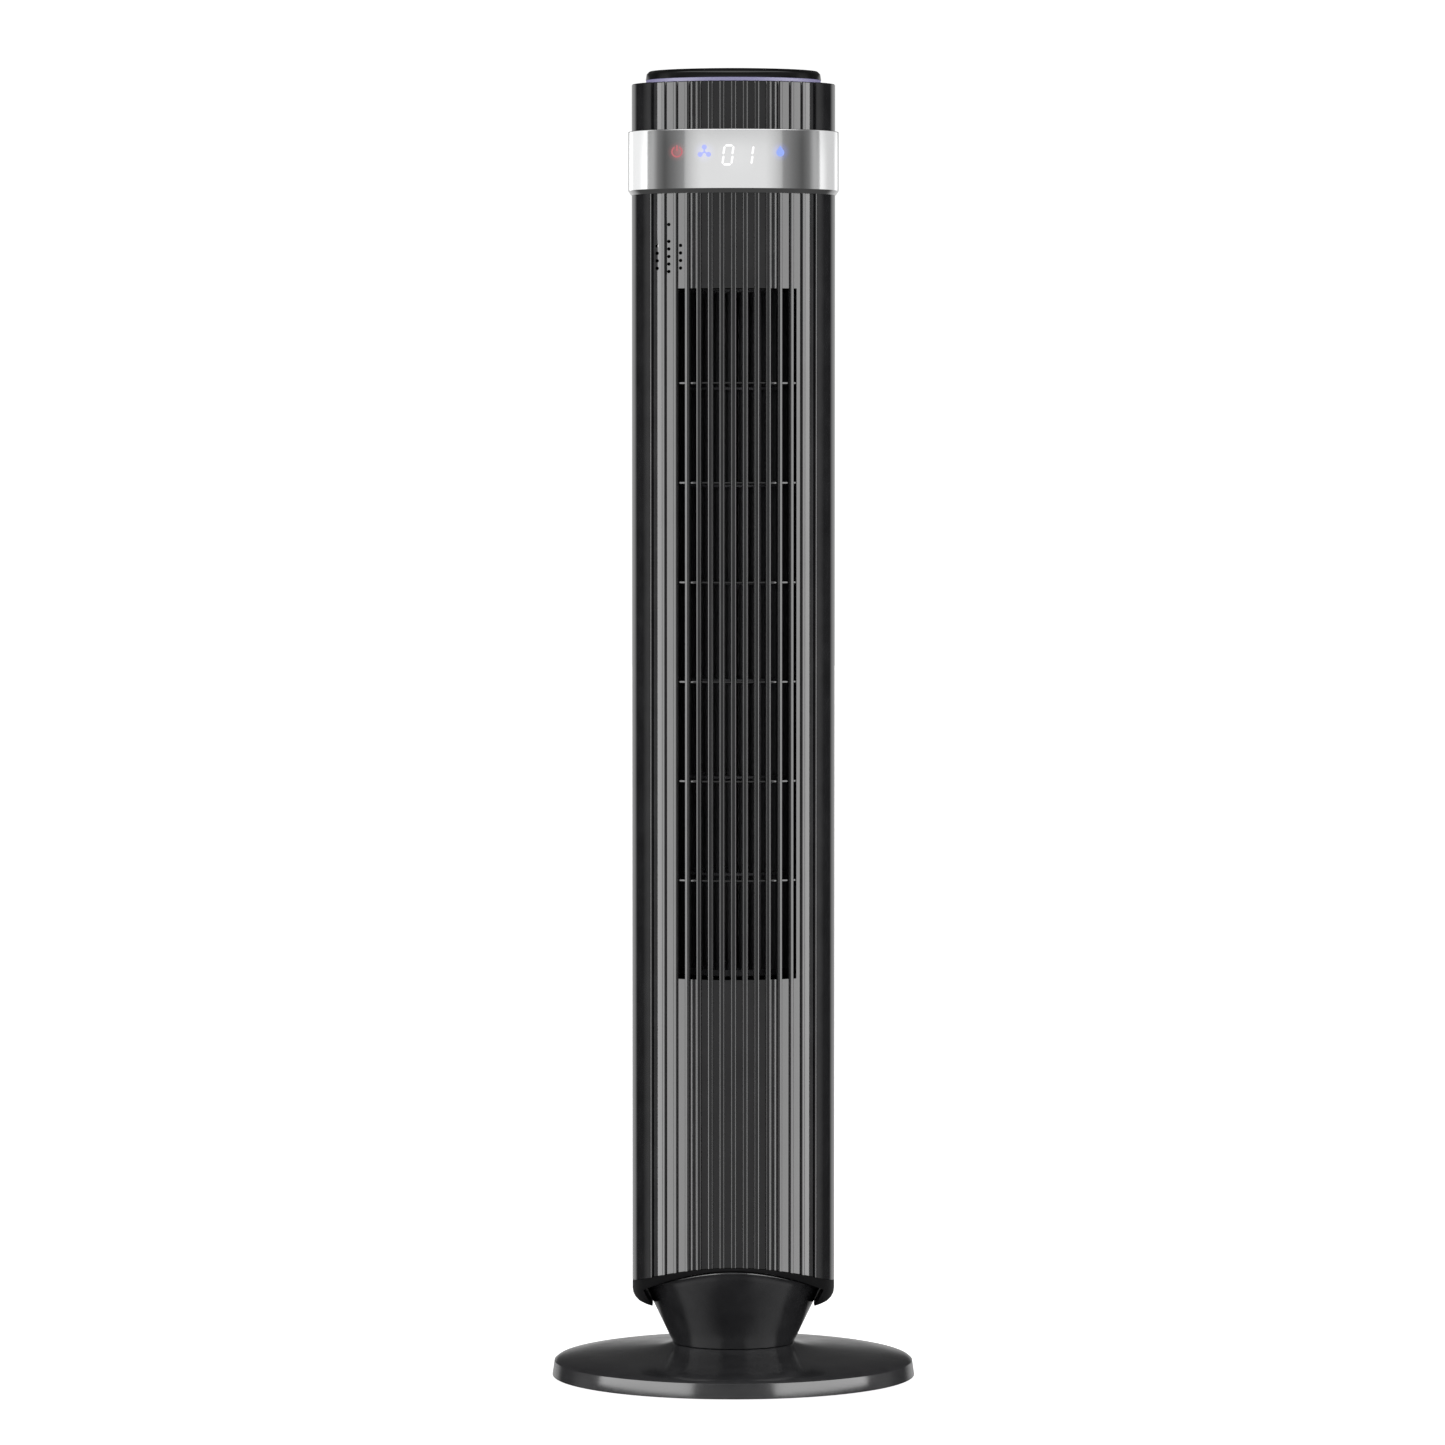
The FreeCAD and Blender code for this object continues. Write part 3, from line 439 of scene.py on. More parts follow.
def rod(place, radius, depth, sides):
    """Rod along Y that serves as a cutter."""
    bpy.ops.mesh.primitive_cylinder_add(vertices=sides, radius=radius, depth=depth, location=place,
                                        rotation=(math.pi / 2, 0, 0))
    return bpy.context.object


def join(pieces, name):
    """Join finished meshes into the first one."""
    pick(pieces[0])
    for piece in pieces:
        piece.select_set(True)
    bpy.ops.object.join()
    pieces[0].name = name
    pieces[0].data.name = name
    return pieces[0]


print("outline helpers ready")

# %% [markdown]
# ## Finishes
# Each finish is named after the real material. Colours are sRGB hex codes and pattern sizes are
# real ones. Object coordinates keep a pattern on its piece when the column turns.

# %% Pattern helper
def noise_at(tree, size, detail=3.0, roughness=0.5):
    """Noise whose grains are about `size` metres across."""
    place = add_node(tree, "ShaderNodeTexCoord").outputs["Object"]
    return add_node(tree, "ShaderNodeTexNoise", {"Vector": place, "Scale": 1.0 / size,
                                                 "Detail": detail, "Roughness": roughness})


def soft_bump(tree, shader, height, strength, distance):
    """Bump from a height output."""
    bump = add_node(tree, "ShaderNodeBump", {"Height": height, "Strength": strength,
                                             "Distance": distance})
    tree.links.new(bump.outputs["Normal"], shader.inputs["Normal"])


def tint(tree, shader, fac, stops, socket="Base Color"):
    """Colour a socket along a ramp of (position, hex colour) stops."""
    tone = add_node(tree, "ShaderNodeValToRGB", {"Fac": fac})
    ramp_stops(tone, [(position, linear(colour)) for position, colour in stops])
    tree.links.new(tone.outputs["Color"], shader.inputs[socket])
    return tone


def roughen(tree, shader, fac, low, high):
    """Let the roughness wander between two values."""
    wander = add_node(tree, "ShaderNodeMapRange", {"Value": fac, "From Min": 0.3, "From Max": 0.7,
                                                   "To Min": low, "To Max": high})
    tree.links.new(wander.outputs[0], shader.inputs["Roughness"])


print("pattern helpers ready")

# %% [markdown]
# ### Moulded gloss ABS
# The column, the base and the cap are high-gloss black ABS out of a polished mould. The eye
# gets a black body under a sharp reflection, very slightly wavy where the wall shrank as it
# cooled, and dulled here and there by a trace of handling.

# %% Moulded gloss ABS
def moulded_gloss_abs(name, colour, handled, gloss_low, gloss_high):
    material, tree, shader = new_material(name)
    traces = noise_at(tree, 24 * MM, detail=6.0, roughness=0.62)
    tint(tree, shader, traces.outputs["Fac"], [(0.35, colour), (0.75, handled)])
    roughen(tree, shader, traces.outputs["Fac"], gloss_low, gloss_high)
    shader.inputs["IOR"].default_value = 1.54
    shrink = noise_at(tree, 30 * MM, detail=1.0)
    soft_bump(tree, shader, shrink.outputs["Fac"], 0.03, 0.2 * MM)
    return material


gloss_black = moulded_gloss_abs("moulded_gloss_abs", "#050506", "#0f0f10", 0.03, 0.07)
base_black = moulded_gloss_abs("moulded_semi_gloss_abs", "#141415", "#1c1c1d", 0.15, 0.20)
neck_black = moulded_gloss_abs("moulded_satin_abs", "#101011", "#181819", 0.15, 0.21)
print("gloss ABS ready")

# %% [markdown]
# ### Moulded matt polypropylene
# The foot cap and the inner mouldings are unpolished. Spark-eroded mould steel leaves a grain of
# about a third of a millimetre, which spreads every highlight.

# %% Moulded matt polypropylene
def moulded_matt_pp(name, colour, grain):
    material, tree, shader = new_material(name)
    speckle = noise_at(tree, grain, detail=2.0)
    shader.inputs["Base Color"].default_value = linear(colour)
    roughen(tree, shader, speckle.outputs["Fac"], 0.45, 0.62)
    shader.inputs["IOR"].default_value = 1.49
    shader.inputs["Specular IOR Level"].default_value = 0.2
    soft_bump(tree, shader, speckle.outputs["Fac"], 0.25, 0.08 * MM)
    return material


matt_black = moulded_matt_pp("moulded_matt_polypropylene", "#0b0b0c", 0.35 * MM)
impeller_grey = moulded_matt_pp("glass_filled_polypropylene", "#2c2c2e", 0.6 * MM)
print("polypropylene ready")

# %% [markdown]
# ### Metallised satin band
# The band is ABS with a vacuum-deposited aluminium layer under a satin lacquer. The fine flake
# of the layer breaks the reflection up, so it reads as soft silver rather than chrome. Four
# signs shine through it from behind, and each leaves a faint pool of coloured light around it.

# %% Metallised satin band
# Each sign: where it sits (x, z) and how far it glows, in millimetres, its colour and its power.
SIGN_GLOW = [
    (-45.5, 998.0, 5.5, "#d8303a", 0.55),
    (-23.5, 997.5, 6.5, "#7f8cff", 0.35),
    (3.0, 995.0, 13.0, "#ffffff", 0.06),
    (37.5, 997.8, 5.5, "#3c62ff", 0.60),
]


def glow_pool(tree, place, x, z, reach):
    """1 at a sign's middle, falling to 0 at its reach."""
    offset = add_node(tree, "ShaderNodeVectorMath",
                      {0: place, 1: (x * MM, -BAND_R, z * MM)}, operation="SUBTRACT")
    flat = add_node(tree, "ShaderNodeVectorMath",
                    {0: offset.outputs[0], 1: (1, 0, 1)}, operation="MULTIPLY")
    length = add_node(tree, "ShaderNodeVectorMath", {0: flat.outputs[0]}, operation="LENGTH")
    fall = add_node(tree, "ShaderNodeMapRange",
                    {"Value": length.outputs["Value"], "From Min": 0.0, "From Max": reach * MM,
                     "To Min": 1.0, "To Max": 0.0}, interpolation_type="SMOOTHSTEP")
    return fall.outputs[0]


def metallised_abs():
    material, tree, shader = new_material("metallised_satin_abs")
    flake = noise_at(tree, 0.25 * MM, detail=2.0)
    tint(tree, shader, flake.outputs["Fac"], [(0.3, "#e9eaeb"), (0.7, "#fafafa")])
    roughen(tree, shader, flake.outputs["Fac"], 0.09, 0.14)
    shader.inputs["Metallic"].default_value = 1.0
    soft_bump(tree, shader, flake.outputs["Fac"], 0.04, 0.02 * MM)
    place = add_node(tree, "ShaderNodeTexCoord").outputs["Object"]
    axes = add_node(tree, "ShaderNodeSeparateXYZ", {0: place})
    front = add_node(tree, "ShaderNodeMath", {0: axes.outputs["Y"], 1: 0.0},
                     operation="LESS_THAN")
    glow = (0.0, 0.0, 0.0, 1.0)
    for x, z, reach, colour, strength in SIGN_GLOW:
        pool = glow_pool(tree, place, x, z, reach * 1.6)
        power = add_node(tree, "ShaderNodeMath", {0: pool, 1: strength}, operation="MULTIPLY")
        ahead = add_node(tree, "ShaderNodeMath", {0: power.outputs[0], 1: front.outputs[0]},
                         operation="MULTIPLY")
        glow = blend(tree, ahead.outputs[0], glow, linear(colour))
    tree.links.new(glow, shader.inputs["Emission Color"])
    shader.inputs["Emission Strength"].default_value = 0.5
    return material


silver = metallised_abs()
print("band finish ready")

# %% [markdown]
# ### Light: the ring and the signs
# The ring is frosted acrylic lit from below by a circle of violet LEDs, brightest at the front.
# The signs are clear inlays flush with the band. Their colour is chosen by where they sit
# along it.

# %% Frosted acrylic ring and sign inlays
def frosted_glow():
    material, tree, shader = new_material("frosted_acrylic")
    place = add_node(tree, "ShaderNodeTexCoord").outputs["Object"]
    axes = add_node(tree, "ShaderNodeSeparateXYZ", {0: place})
    ahead = graded(tree, axes.outputs["Y"], -GLOW_R, GLOW_R)
    violet = [(0.0, "#8f8bb4"), (0.35, "#77729a"), (1.0, "#6b6690")]
    tint(tree, shader, ahead, violet, "Emission Color")
    shader.inputs["Base Color"].default_value = linear("#4a4858")
    shader.inputs["Roughness"].default_value = 0.45
    shader.inputs["Emission Strength"].default_value = 0.62
    return material


def sign_inlay():
    material, tree, shader = new_material("lit_acrylic_signs")
    place = add_node(tree, "ShaderNodeTexCoord").outputs["Object"]
    axes = add_node(tree, "ShaderNodeSeparateXYZ", {0: place})
    along = graded(tree, axes.outputs["X"], -BAND_R, BAND_R)
    lamps = [(0.0, "#b8646a"), (0.30, "#a9b2f2"), (0.42, "#ffffff"), (0.62, "#8fa6ee")]
    tint(tree, shader, along, lamps, "Emission Color").color_ramp.interpolation = "CONSTANT"
    shader.inputs["Base Color"].default_value = linear("#202020")
    shader.inputs["Roughness"].default_value = 0.35
    shader.inputs["Emission Strength"].default_value = 1.1
    return material


frosted = frosted_glow()
signs = sign_inlay()
print("light finishes ready")

# %% [markdown]
# ### Metals, rubber, acetal and boards
# These are inside or underneath. Each has its own grain: plated steel is finely mottled, sintered
# bronze is speckled with oil-dark pores, cast iron is coarse, and solder mask lies over copper
# tracks that show as slightly raised lines.

# %% Metals and small materials
def mottled_metal(name, dark, light, grain, rough, bump):
    material, tree, shader = new_material(name)
    mottle = noise_at(tree, grain, detail=4.0)
    tint(tree, shader, mottle.outputs["Fac"], [(0.3, dark), (0.7, light)])
    roughen(tree, shader, mottle.outputs["Fac"], rough * 0.8, rough * 1.2)
    shader.inputs["Metallic"].default_value = 1.0
    soft_bump(tree, shader, mottle.outputs["Fac"], bump, 0.1 * MM)
    return material


def moulded_soft(name, dark, light, grain, rough, ior, bump):
    material, tree, shader = new_material(name)
    grainy = noise_at(tree, grain, detail=4.0)
    tint(tree, shader, grainy.outputs["Fac"], [(0.3, dark), (0.7, light)])
    shader.inputs["Roughness"].default_value = rough
    shader.inputs["IOR"].default_value = ior
    soft_bump(tree, shader, grainy.outputs["Fac"], bump, 0.1 * MM)
    return material


def solder_mask():
    material, tree, shader = new_material("solder_masked_board")
    place = add_node(tree, "ShaderNodeTexCoord").outputs["Object"]
    tracks = add_node(tree, "ShaderNodeTexBrick",
                      {"Vector": place, "Scale": 1.0, "Color1": linear("#0d3a22"),
                       "Color2": linear("#11472a"), "Mortar": linear("#1d6a3f"),
                       "Brick Width": 6 * MM, "Row Height": 1.2 * MM, "Mortar Size": 0.2 * MM})
    tree.links.new(tracks.outputs["Color"], shader.inputs["Base Color"])
    shader.inputs["Roughness"].default_value = 0.3
    shader.inputs["IOR"].default_value = 1.55
    soft_bump(tree, shader, tracks.outputs["Fac"], 0.2, 0.05 * MM)
    return material


def clear_guide():
    material, tree, shader = new_material("frosted_light_guide")
    haze = noise_at(tree, 1.0 * MM)
    shader.inputs["Base Color"].default_value = linear("#e6e8ee")
    roughen(tree, shader, haze.outputs["Fac"], 0.3, 0.45)
    shader.inputs["Transmission Weight"].default_value = 0.6
    return material


plated_steel = mottled_metal("zinc_plated_steel", "#a9abad", "#c9cbcd", 0.8 * MM, 0.34, 0.1)
cast_iron = mottled_metal("cast_iron", "#3c3c3d", "#5a5a5b", 1.2 * MM, 0.6, 0.5)
bronze = mottled_metal("sintered_bronze", "#5c4326", "#a27c46", 0.25 * MM, 0.5, 0.3)
acetal = moulded_soft("acetal", "#dcd9cf", "#e9e6dd", 2.0 * MM, 0.32, 1.48, 0.05)
rubber = moulded_soft("natural_rubber", "#151515", "#1f1f1f", 0.4 * MM, 0.75, 1.52, 0.3)
resin = moulded_soft("moulded_epoxy", "#161618", "#222225", 0.5 * MM, 0.5, 1.55, 0.2)
board = solder_mask()
guide = clear_guide()
print("small materials ready")

# %% [markdown]
# ## The ribbed section
# The front of the column is one moulding: a curved wall with thirteen raised ribs, evenly spaced
# when seen from the front. Thirteen bars joined to a tube would leave seams, so the cross-section
# is drawn once as a wire with rounded rib edges, extruded inwards to give the wall its thickness,
# and then extruded upwards.

# %% Section of the ribbed front
RIB_ROUND = 1.2 * MM
FOOT_ROUND = 0.12 * MM
RIB_DRAFT = 0.12 * MM


def on_circle(radius, x):
    return -math.sqrt(radius ** 2 - x ** 2)


def land_points(x0, x1, steps=6):
    """Points along the land's arc, without its two ends."""
    points = []
    for step in range(1, steps):
        x = x0 + (x1 - x0) * step / steps
        points.append((x, on_circle(LAND_R, x), 0.0))
    return points


def rib_points(x):
    """A rib's own outline, from its left foot to its right foot; its flanks are radial."""
    middle = math.asin(x / COLUMN_R)
    foot = (RIB_WIDTH / 2 + RIB_DRAFT) / LAND_R
    top = (RIB_WIDTH / 2 - RIB_DRAFT) / COLUMN_R
    far = foot + RIB_WIDTH / LAND_R
    stops = [(LAND_R, -far), (LAND_R, -foot), (COLUMN_R, -top), (COLUMN_R, top),
             (LAND_R, foot), (LAND_R, far)]
    corners = [(radius * math.sin(middle + turned), -radius * math.cos(middle + turned), 0.0)
               for radius, turned in stops]
    outline = rounded(corners, {1: FOOT_ROUND, 2: RIB_ROUND, 3: RIB_ROUND, 4: FOOT_ROUND}, steps=4)
    return [tuple(point) for point in outline[1:-1]]


def front_outline(extra_x=None):
    """Outer wire of the ribbed front between its two seams, with a point at extra_x."""
    edge = LAND_R * math.sin(math.radians(SEAM_BEARING))
    points = [(-edge, on_circle(LAND_R, -edge), 0.0)]
    for k in range(-RIBS_EACH_SIDE, RIBS_EACH_SIDE + 1):
        rib = rib_points(k * RIB_PITCH)
        if extra_x and points[-1][0] < extra_x < rib[0][0]:
            points += land_points(points[-1][0], extra_x, 3)
            points.append((extra_x, on_circle(LAND_R, extra_x), 0.0))
        points += land_points(points[-1][0], rib[0][0])
        points += rib
    points += land_points(points[-1][0], edge)
    points.append((edge, on_circle(LAND_R, edge), 0.0))
    return points


def move_selected(mesh, place):
    """Move each selected vertex to where a rule puts it."""
    edit = bmesh.from_edit_mesh(mesh)
    for vertex in edit.verts:
        if vertex.select:
            vertex.co = place(vertex.co)
    bmesh.update_edit_mesh(mesh)


def raise_wall(name, outline, inner_place, levels):
    """Wall between an outer wire and its inner copy, extruded through a list of heights."""
    piece = start_piece(name)
    draw([Vector((x, y, levels[0])) for x, y, z in outline])
    bpy.ops.mesh.extrude_region_move()
    move_selected(piece.data, inner_place)
    bpy.ops.mesh.select_all(action="SELECT")
    for low, high in zip(levels, levels[1:]):
        bpy.ops.mesh.extrude_region_move(TRANSFORM_OT_translate={"value": (0, 0, high - low)})
    return piece


def drawn_to(radius):
    """Rule that moves a point straight in or out to a radius."""
    def place(point):
        flat = Vector((point.x, point.y)).normalized() * radius
        return Vector((flat.x, flat.y, point.z))
    return place


print("outline points across the front:", len(front_outline()))

# %% [markdown]
# ## The arched lower edge and the air outlet
# The lower edge is an arch, so the lowest ring of vertices is lifted to the arch's height. The
# outlet could be cut with a Boolean, but deleting the lands between the ribs, outside and inside,
# and bridging each pair of openings keeps the faces clean. What is left of the ribs are the
# upright bars.

# %% Front cover
def arch_height(x):
    return ARCH_TOP - (ARCH_R - math.sqrt(ARCH_R ** 2 - x ** 2))


def lift_to_arch(piece, low):
    edit = bmesh.from_edit_mesh(piece.data)
    for vertex in edit.verts:
        if abs(vertex.co.z - low) < 1e-5:
            vertex.co.z = arch_height(vertex.co.x)
    bmesh.update_edit_mesh(piece.data)


def bearing_of(point):
    """Angle from the front, in radians."""
    return math.atan2(point[0], -point[1])


def open_wall(piece, bearings, z_range):
    """Delete the faces between two bearings, outside and inside, and bridge the openings."""
    centre = (bearings[0] + bearings[1]) / 2
    half = (bearings[1] - bearings[0]) / 2
    edit = bmesh.from_edit_mesh(piece.data)
    for face in edit.faces:
        middle = face.calc_center_median()
        across = abs(math.remainder(bearing_of(middle) - centre, math.tau)) < half - 1e-4
        upright = z_range[0] + 1e-5 < middle.z < z_range[1] - 1e-5
        face.select_set(across and upright)
    bmesh.update_edit_mesh(piece.data)
    bpy.ops.mesh.delete(type="FACE")
    bpy.ops.mesh.select_all(action="DESELECT")
    bpy.ops.mesh.select_non_manifold(extend=False, use_wire=False, use_multi_face=False,
                                     use_non_contiguous=False, use_verts=False)
    bpy.ops.mesh.bridge_edge_loops()


def slot_bearings():
    """The gaps between the bars, from the outlet's left edge to its right edge."""
    ranges = []
    left = bearing_of(rib_points(-5 * RIB_PITCH)[-1])
    for k in range(-4, 6):
        rib = rib_points(k * RIB_PITCH)
        ranges.append((left, bearing_of(rib[0])))
        left = bearing_of(rib[-1])
    ranges.append((left, math.asin(OUTLET_X[1] / LAND_R)))
    return ranges


FRONT_LOW = 80.0 * MM
front_levels = [FRONT_LOW, 110 * MM, OUTLET_Z[0], OUTLET_Z[1], 898 * MM, 948 * MM, SHELL_TOP]
front_cover = raise_wall("front_cover", front_outline(OUTLET_X[1]), drawn_to(FRONT_INNER_R),
                         front_levels)
lift_to_arch(front_cover, FRONT_LOW)
for slot in slot_bearings():
    open_wall(front_cover, slot, OUTLET_Z)
leave_edit(front_cover)
print("slots opened:", len(slot_bearings()))

# %% [markdown]
# ## Sound holes
# The speaker behind the left lands needs fourteen small round holes. A grid of faces fine enough
# to draw them would be wasteful, so one joined Boolean cutter of short rods makes them all.

# %% Sound holes
HOLE_R = 1.4 * MM
HOLE_LOW = 904.9 * MM
HOLE_PITCH = 6.05 * MM
SIDE_STEPS = (0, 1, 2, 3)
MIDDLE_STEPS = (-0.45, 0.55, 1.55, 2.55, 3.55, 5.8)
HOLE_STEPS = {-6: SIDE_STEPS, -5: MIDDLE_STEPS, -4: SIDE_STEPS}

rods = []
for k, steps in HOLE_STEPS.items():
    for step in steps:
        place = ((k - 0.5) * RIB_PITCH, -70 * MM, HOLE_LOW + step * HOLE_PITCH)
        rods.append(rod(place, HOLE_R, 60 * MM, sides=20))
hole_count = len(rods)
cut(front_cover, join(rods, "hole_cutter"))
finish_piece(front_cover, "column", gloss_black, "front_shell", smooth=28)
print("sound holes:", hole_count)

# %% [markdown]
# ## Cross bars of the outlet
# Six thin level bars brace the uprights just behind their faces. Each is a small rounded section
# turned through the width of the outlet, so it follows the column's curve exactly.

# %% Cross bars
FIRST_BAR_Z = 411.5 * MM
BAR_PITCH = 80.2 * MM
bars = []
for row in range(OUTLET_ROWS - 1):
    z = FIRST_BAR_Z + row * BAR_PITCH
    outer = LAND_R - 0.6 * MM
    inner = outer - 2.6 * MM
    half = 0.9 * MM
    outline = [(inner, z - half), (outer, z - half), (outer, z + half), (inner, z + half)]
    left = math.degrees(math.asin(OUTLET_X[0] / outer)) - 0.6
    right = math.degrees(math.asin(OUTLET_X[1] / outer)) + 0.6
    bars.append(leave_edit(turn("cross_bar", outline, {1: 0.6 * MM, 2: 0.6 * MM}, steps=40,
                                start=left, sweep=right - left)))
cross_bars = join(bars, "outlet_cross_bars")
finish_piece(cross_bars, "column", gloss_black)

# %% [markdown]
# ## The rear cover
# A plain C-shaped wall that meets the front cover at two seams. Its edges are rounded there, so
# each seam shows as a dark line with a thin bright edge. It is raised from its section, as the
# front is. The intake window is opened in the same way as the outlet, because its edges lie on
# the wall's own lines. The carry recess and the screw holes don't, so Booleans cut them.

# %% Rear cover
SEAM_GAP = 0.15
EDGE_ROUND = 0.9 * MM
REAR_STEP = 2.0


def bearing_point(radius, bearing, z=0.0):
    angle = math.radians(bearing)
    return Vector((radius * math.sin(angle), -radius * math.cos(angle), z))


def rear_outline():
    """Arc from seam to seam, with rounded ends."""
    first = SEAM_BEARING + SEAM_GAP
    last = 360.0 - first
    round_angle = math.degrees(EDGE_ROUND / COLUMN_R)
    bearings = [180 - INTAKE_BEARING, 180 + INTAKE_BEARING]
    start = first + round_angle
    count = int((last - first - 2 * round_angle) / REAR_STEP)
    step = (last - first - 2 * round_angle) / count
    for index in range(count + 1):
        bearing = start + index * step
        if all(abs(bearing - stop) > 0.6 for stop in bearings):
            bearings.append(bearing)
    points = []
    for turn_step in range(4):
        angle = math.radians(90 * turn_step / 4)
        inset = EDGE_ROUND * (1 - math.sin(angle))
        along = round_angle * (1 - math.cos(angle))
        points.append((COLUMN_R - inset, first + along))
    middle = [(COLUMN_R, bearing) for bearing in sorted(bearings)]
    mirrored = [(radius, 360.0 - bearing) for radius, bearing in reversed(points)]
    return [tuple(bearing_point(radius, bearing)) for radius, bearing in points + middle + mirrored]


REAR_LOW = 70.0 * MM
rear_levels = [REAR_LOW, 110 * MM, 145 * MM, 300 * MM, 325 * MM, INTAKE_Z[0], INTAKE_Z[1],
               895 * MM, 955 * MM, SHELL_TOP]
rear_cover = raise_wall("rear_cover", rear_outline(), drawn_to(REAR_INNER_R), rear_levels)
lift_to_arch(rear_cover, REAR_LOW)
window = [math.radians(180 + side * INTAKE_BEARING) for side in (-1, 1)]
open_wall(rear_cover, window, INTAKE_Z)
leave_edit(rear_cover)
print("rear cover faces", len(rear_cover.data.polygons))

# %% [markdown]
# ## Carry recess and screw holes
# A block with rounded edges cuts the opening where the carry cup sits, and six rods cut the
# holes for the screws that hold the two covers together.

# %% Holes in the rear cover
HANDLE_HALF_WIDTH = 45.0 * MM
HANDLE_Z = (905.0 * MM, 945.0 * MM)
SCREW_X = 58.0 * MM
SCREW_Z = (130.0 * MM, 312.0 * MM, 925.0 * MM)


def block(name, x, y, z, corner):
    """Box between two limits on each axis, with the edges that run along Y rounded."""
    size = Vector((x[1] - x[0], y[1] - y[0], z[1] - z[0]))
    middle = Vector((sum(x) / 2, sum(y) / 2, sum(z) / 2))
    bpy.ops.object.select_all(action="DESELECT")
    bpy.ops.mesh.primitive_cube_add(size=1.0, location=middle)
    piece = bpy.context.object
    piece.name = name
    piece.scale = size
    bpy.ops.object.transform_apply(location=True, rotation=False, scale=True)
    bpy.ops.object.mode_set(mode="EDIT")
    edit = bmesh.from_edit_mesh(piece.data)
    for edge in edit.edges:
        run = edge.verts[0].co - edge.verts[1].co
        edge.select_set(abs(run.normalized().y) > 0.9)
    bmesh.update_edit_mesh(piece.data)
    bpy.ops.mesh.bevel(offset=corner, segments=8)
    return piece


handle_cutter = block("handle_cutter", (-HANDLE_HALF_WIDTH, HANDLE_HALF_WIDTH),
                      (52 * MM, 95 * MM), HANDLE_Z, 9 * MM)
bpy.ops.object.mode_set(mode="OBJECT")
cut(rear_cover, handle_cutter)
rods = [rod((x, 65 * MM, z), 4 * MM, 40 * MM, sides=32)
        for x in (-SCREW_X, SCREW_X) for z in SCREW_Z]
cut(rear_cover, join(rods, "screw_hole_cutter"))
finish_piece(rear_cover, "column", gloss_black, "rear_shell", smooth=28)

# %% [markdown]
# ## The intake grille
# The grille at the back unclips for cleaning. It is a curved frame, level slats and uprights.
# A Wireframe modifier on a curved sheet would be quicker, but all its bars would be alike. Bars
# turned and extruded one by one have their own widths and softened edges, which each catch a
# thin line of light.

# %% Intake grille
GRILLE_OUTER = COLUMN_R - 0.2 * MM
GRILLE_INNER = REAR_INNER_R - 0.4 * MM
GRILLE_COLUMNS = 11
GRILLE_ROWS = 34
GRILLE_BORDER = 8.0 * MM
SLAT_HEIGHT = 4.0 * MM
BORDER_ANGLE = 3.0
RIB_ANGLE = 1.5

edge_bearing = INTAKE_BEARING - 0.25
grille_low = INTAKE_Z[0] + 0.3 * MM
grille_high = INTAKE_Z[1] - 0.3 * MM
row_height = (grille_high - grille_low - 2 * GRILLE_BORDER) / GRILLE_ROWS
column_angle = 2 * (edge_bearing - BORDER_ANGLE) / GRILLE_COLUMNS


def level_bar(low, high, soft):
    outline = [(GRILLE_INNER, low), (GRILLE_OUTER, low), (GRILLE_OUTER, high),
               (GRILLE_INNER, high)]
    return leave_edit(turn("level_bar", outline, {1: soft, 2: soft}, steps=36,
                           start=180 - edge_bearing, sweep=2 * edge_bearing))


def upright_bar(start, end, soft):
    """Upright between two bearings, drawn as a section and extruded."""
    section = [bearing_point(GRILLE_INNER, start), bearing_point(GRILLE_OUTER, start),
               bearing_point(GRILLE_OUTER, (start + end) / 2), bearing_point(GRILLE_OUTER, end),
               bearing_point(GRILLE_INNER, end)]
    outline = rounded(section, {1: soft, 3: soft}, steps=3)
    lift = (0, 0, grille_high - grille_low)
    return prism("upright_bar", [(p.x, p.y, grille_low) for p in outline], lift)


parts = [level_bar(grille_low, grille_low + GRILLE_BORDER, 0.6 * MM),
         level_bar(grille_high - GRILLE_BORDER, grille_high, 0.6 * MM)]
for row in range(1, GRILLE_ROWS):
    z = grille_low + GRILLE_BORDER + row * row_height
    parts.append(level_bar(z - SLAT_HEIGHT / 2, z + SLAT_HEIGHT / 2, 0.7 * MM))
first = 180 - edge_bearing
parts.append(upright_bar(first, first + BORDER_ANGLE, 0.5 * MM))
parts.append(upright_bar(360 - first - BORDER_ANGLE, 360 - first, 0.5 * MM))
for column in range(1, GRILLE_COLUMNS):
    middle = first + BORDER_ANGLE + column * column_angle
    parts.append(upright_bar(middle - RIB_ANGLE / 2, middle + RIB_ANGLE / 2, 0.5 * MM))
intake_grille = join(parts, "intake_grille")
finish_piece(intake_grille, "column", gloss_black, "rear_grille")

# %% [markdown]
# ## The cap above the band
# The cap repeats the ribs for its short height and is smooth round the back. The same outline
# function draws its front, so its ribs stand exactly above those of the column. A flat deck
# closes it down to the glowing ring.

# %% Cap
CAP_BREAK = 0.6 * MM
CAP_STEP = 0.35
BACK_STEPS = 120


def cap_outline():
    """Ribbed front and smooth back in one closed outline."""
    points = front_outline()
    first = SEAM_BEARING + CAP_STEP
    for index in range(BACK_STEPS + 1):
        bearing = first + (360 - 2 * first) * index / BACK_STEPS
        points.append(tuple(bearing_point(COLUMN_R, bearing)))
    return points


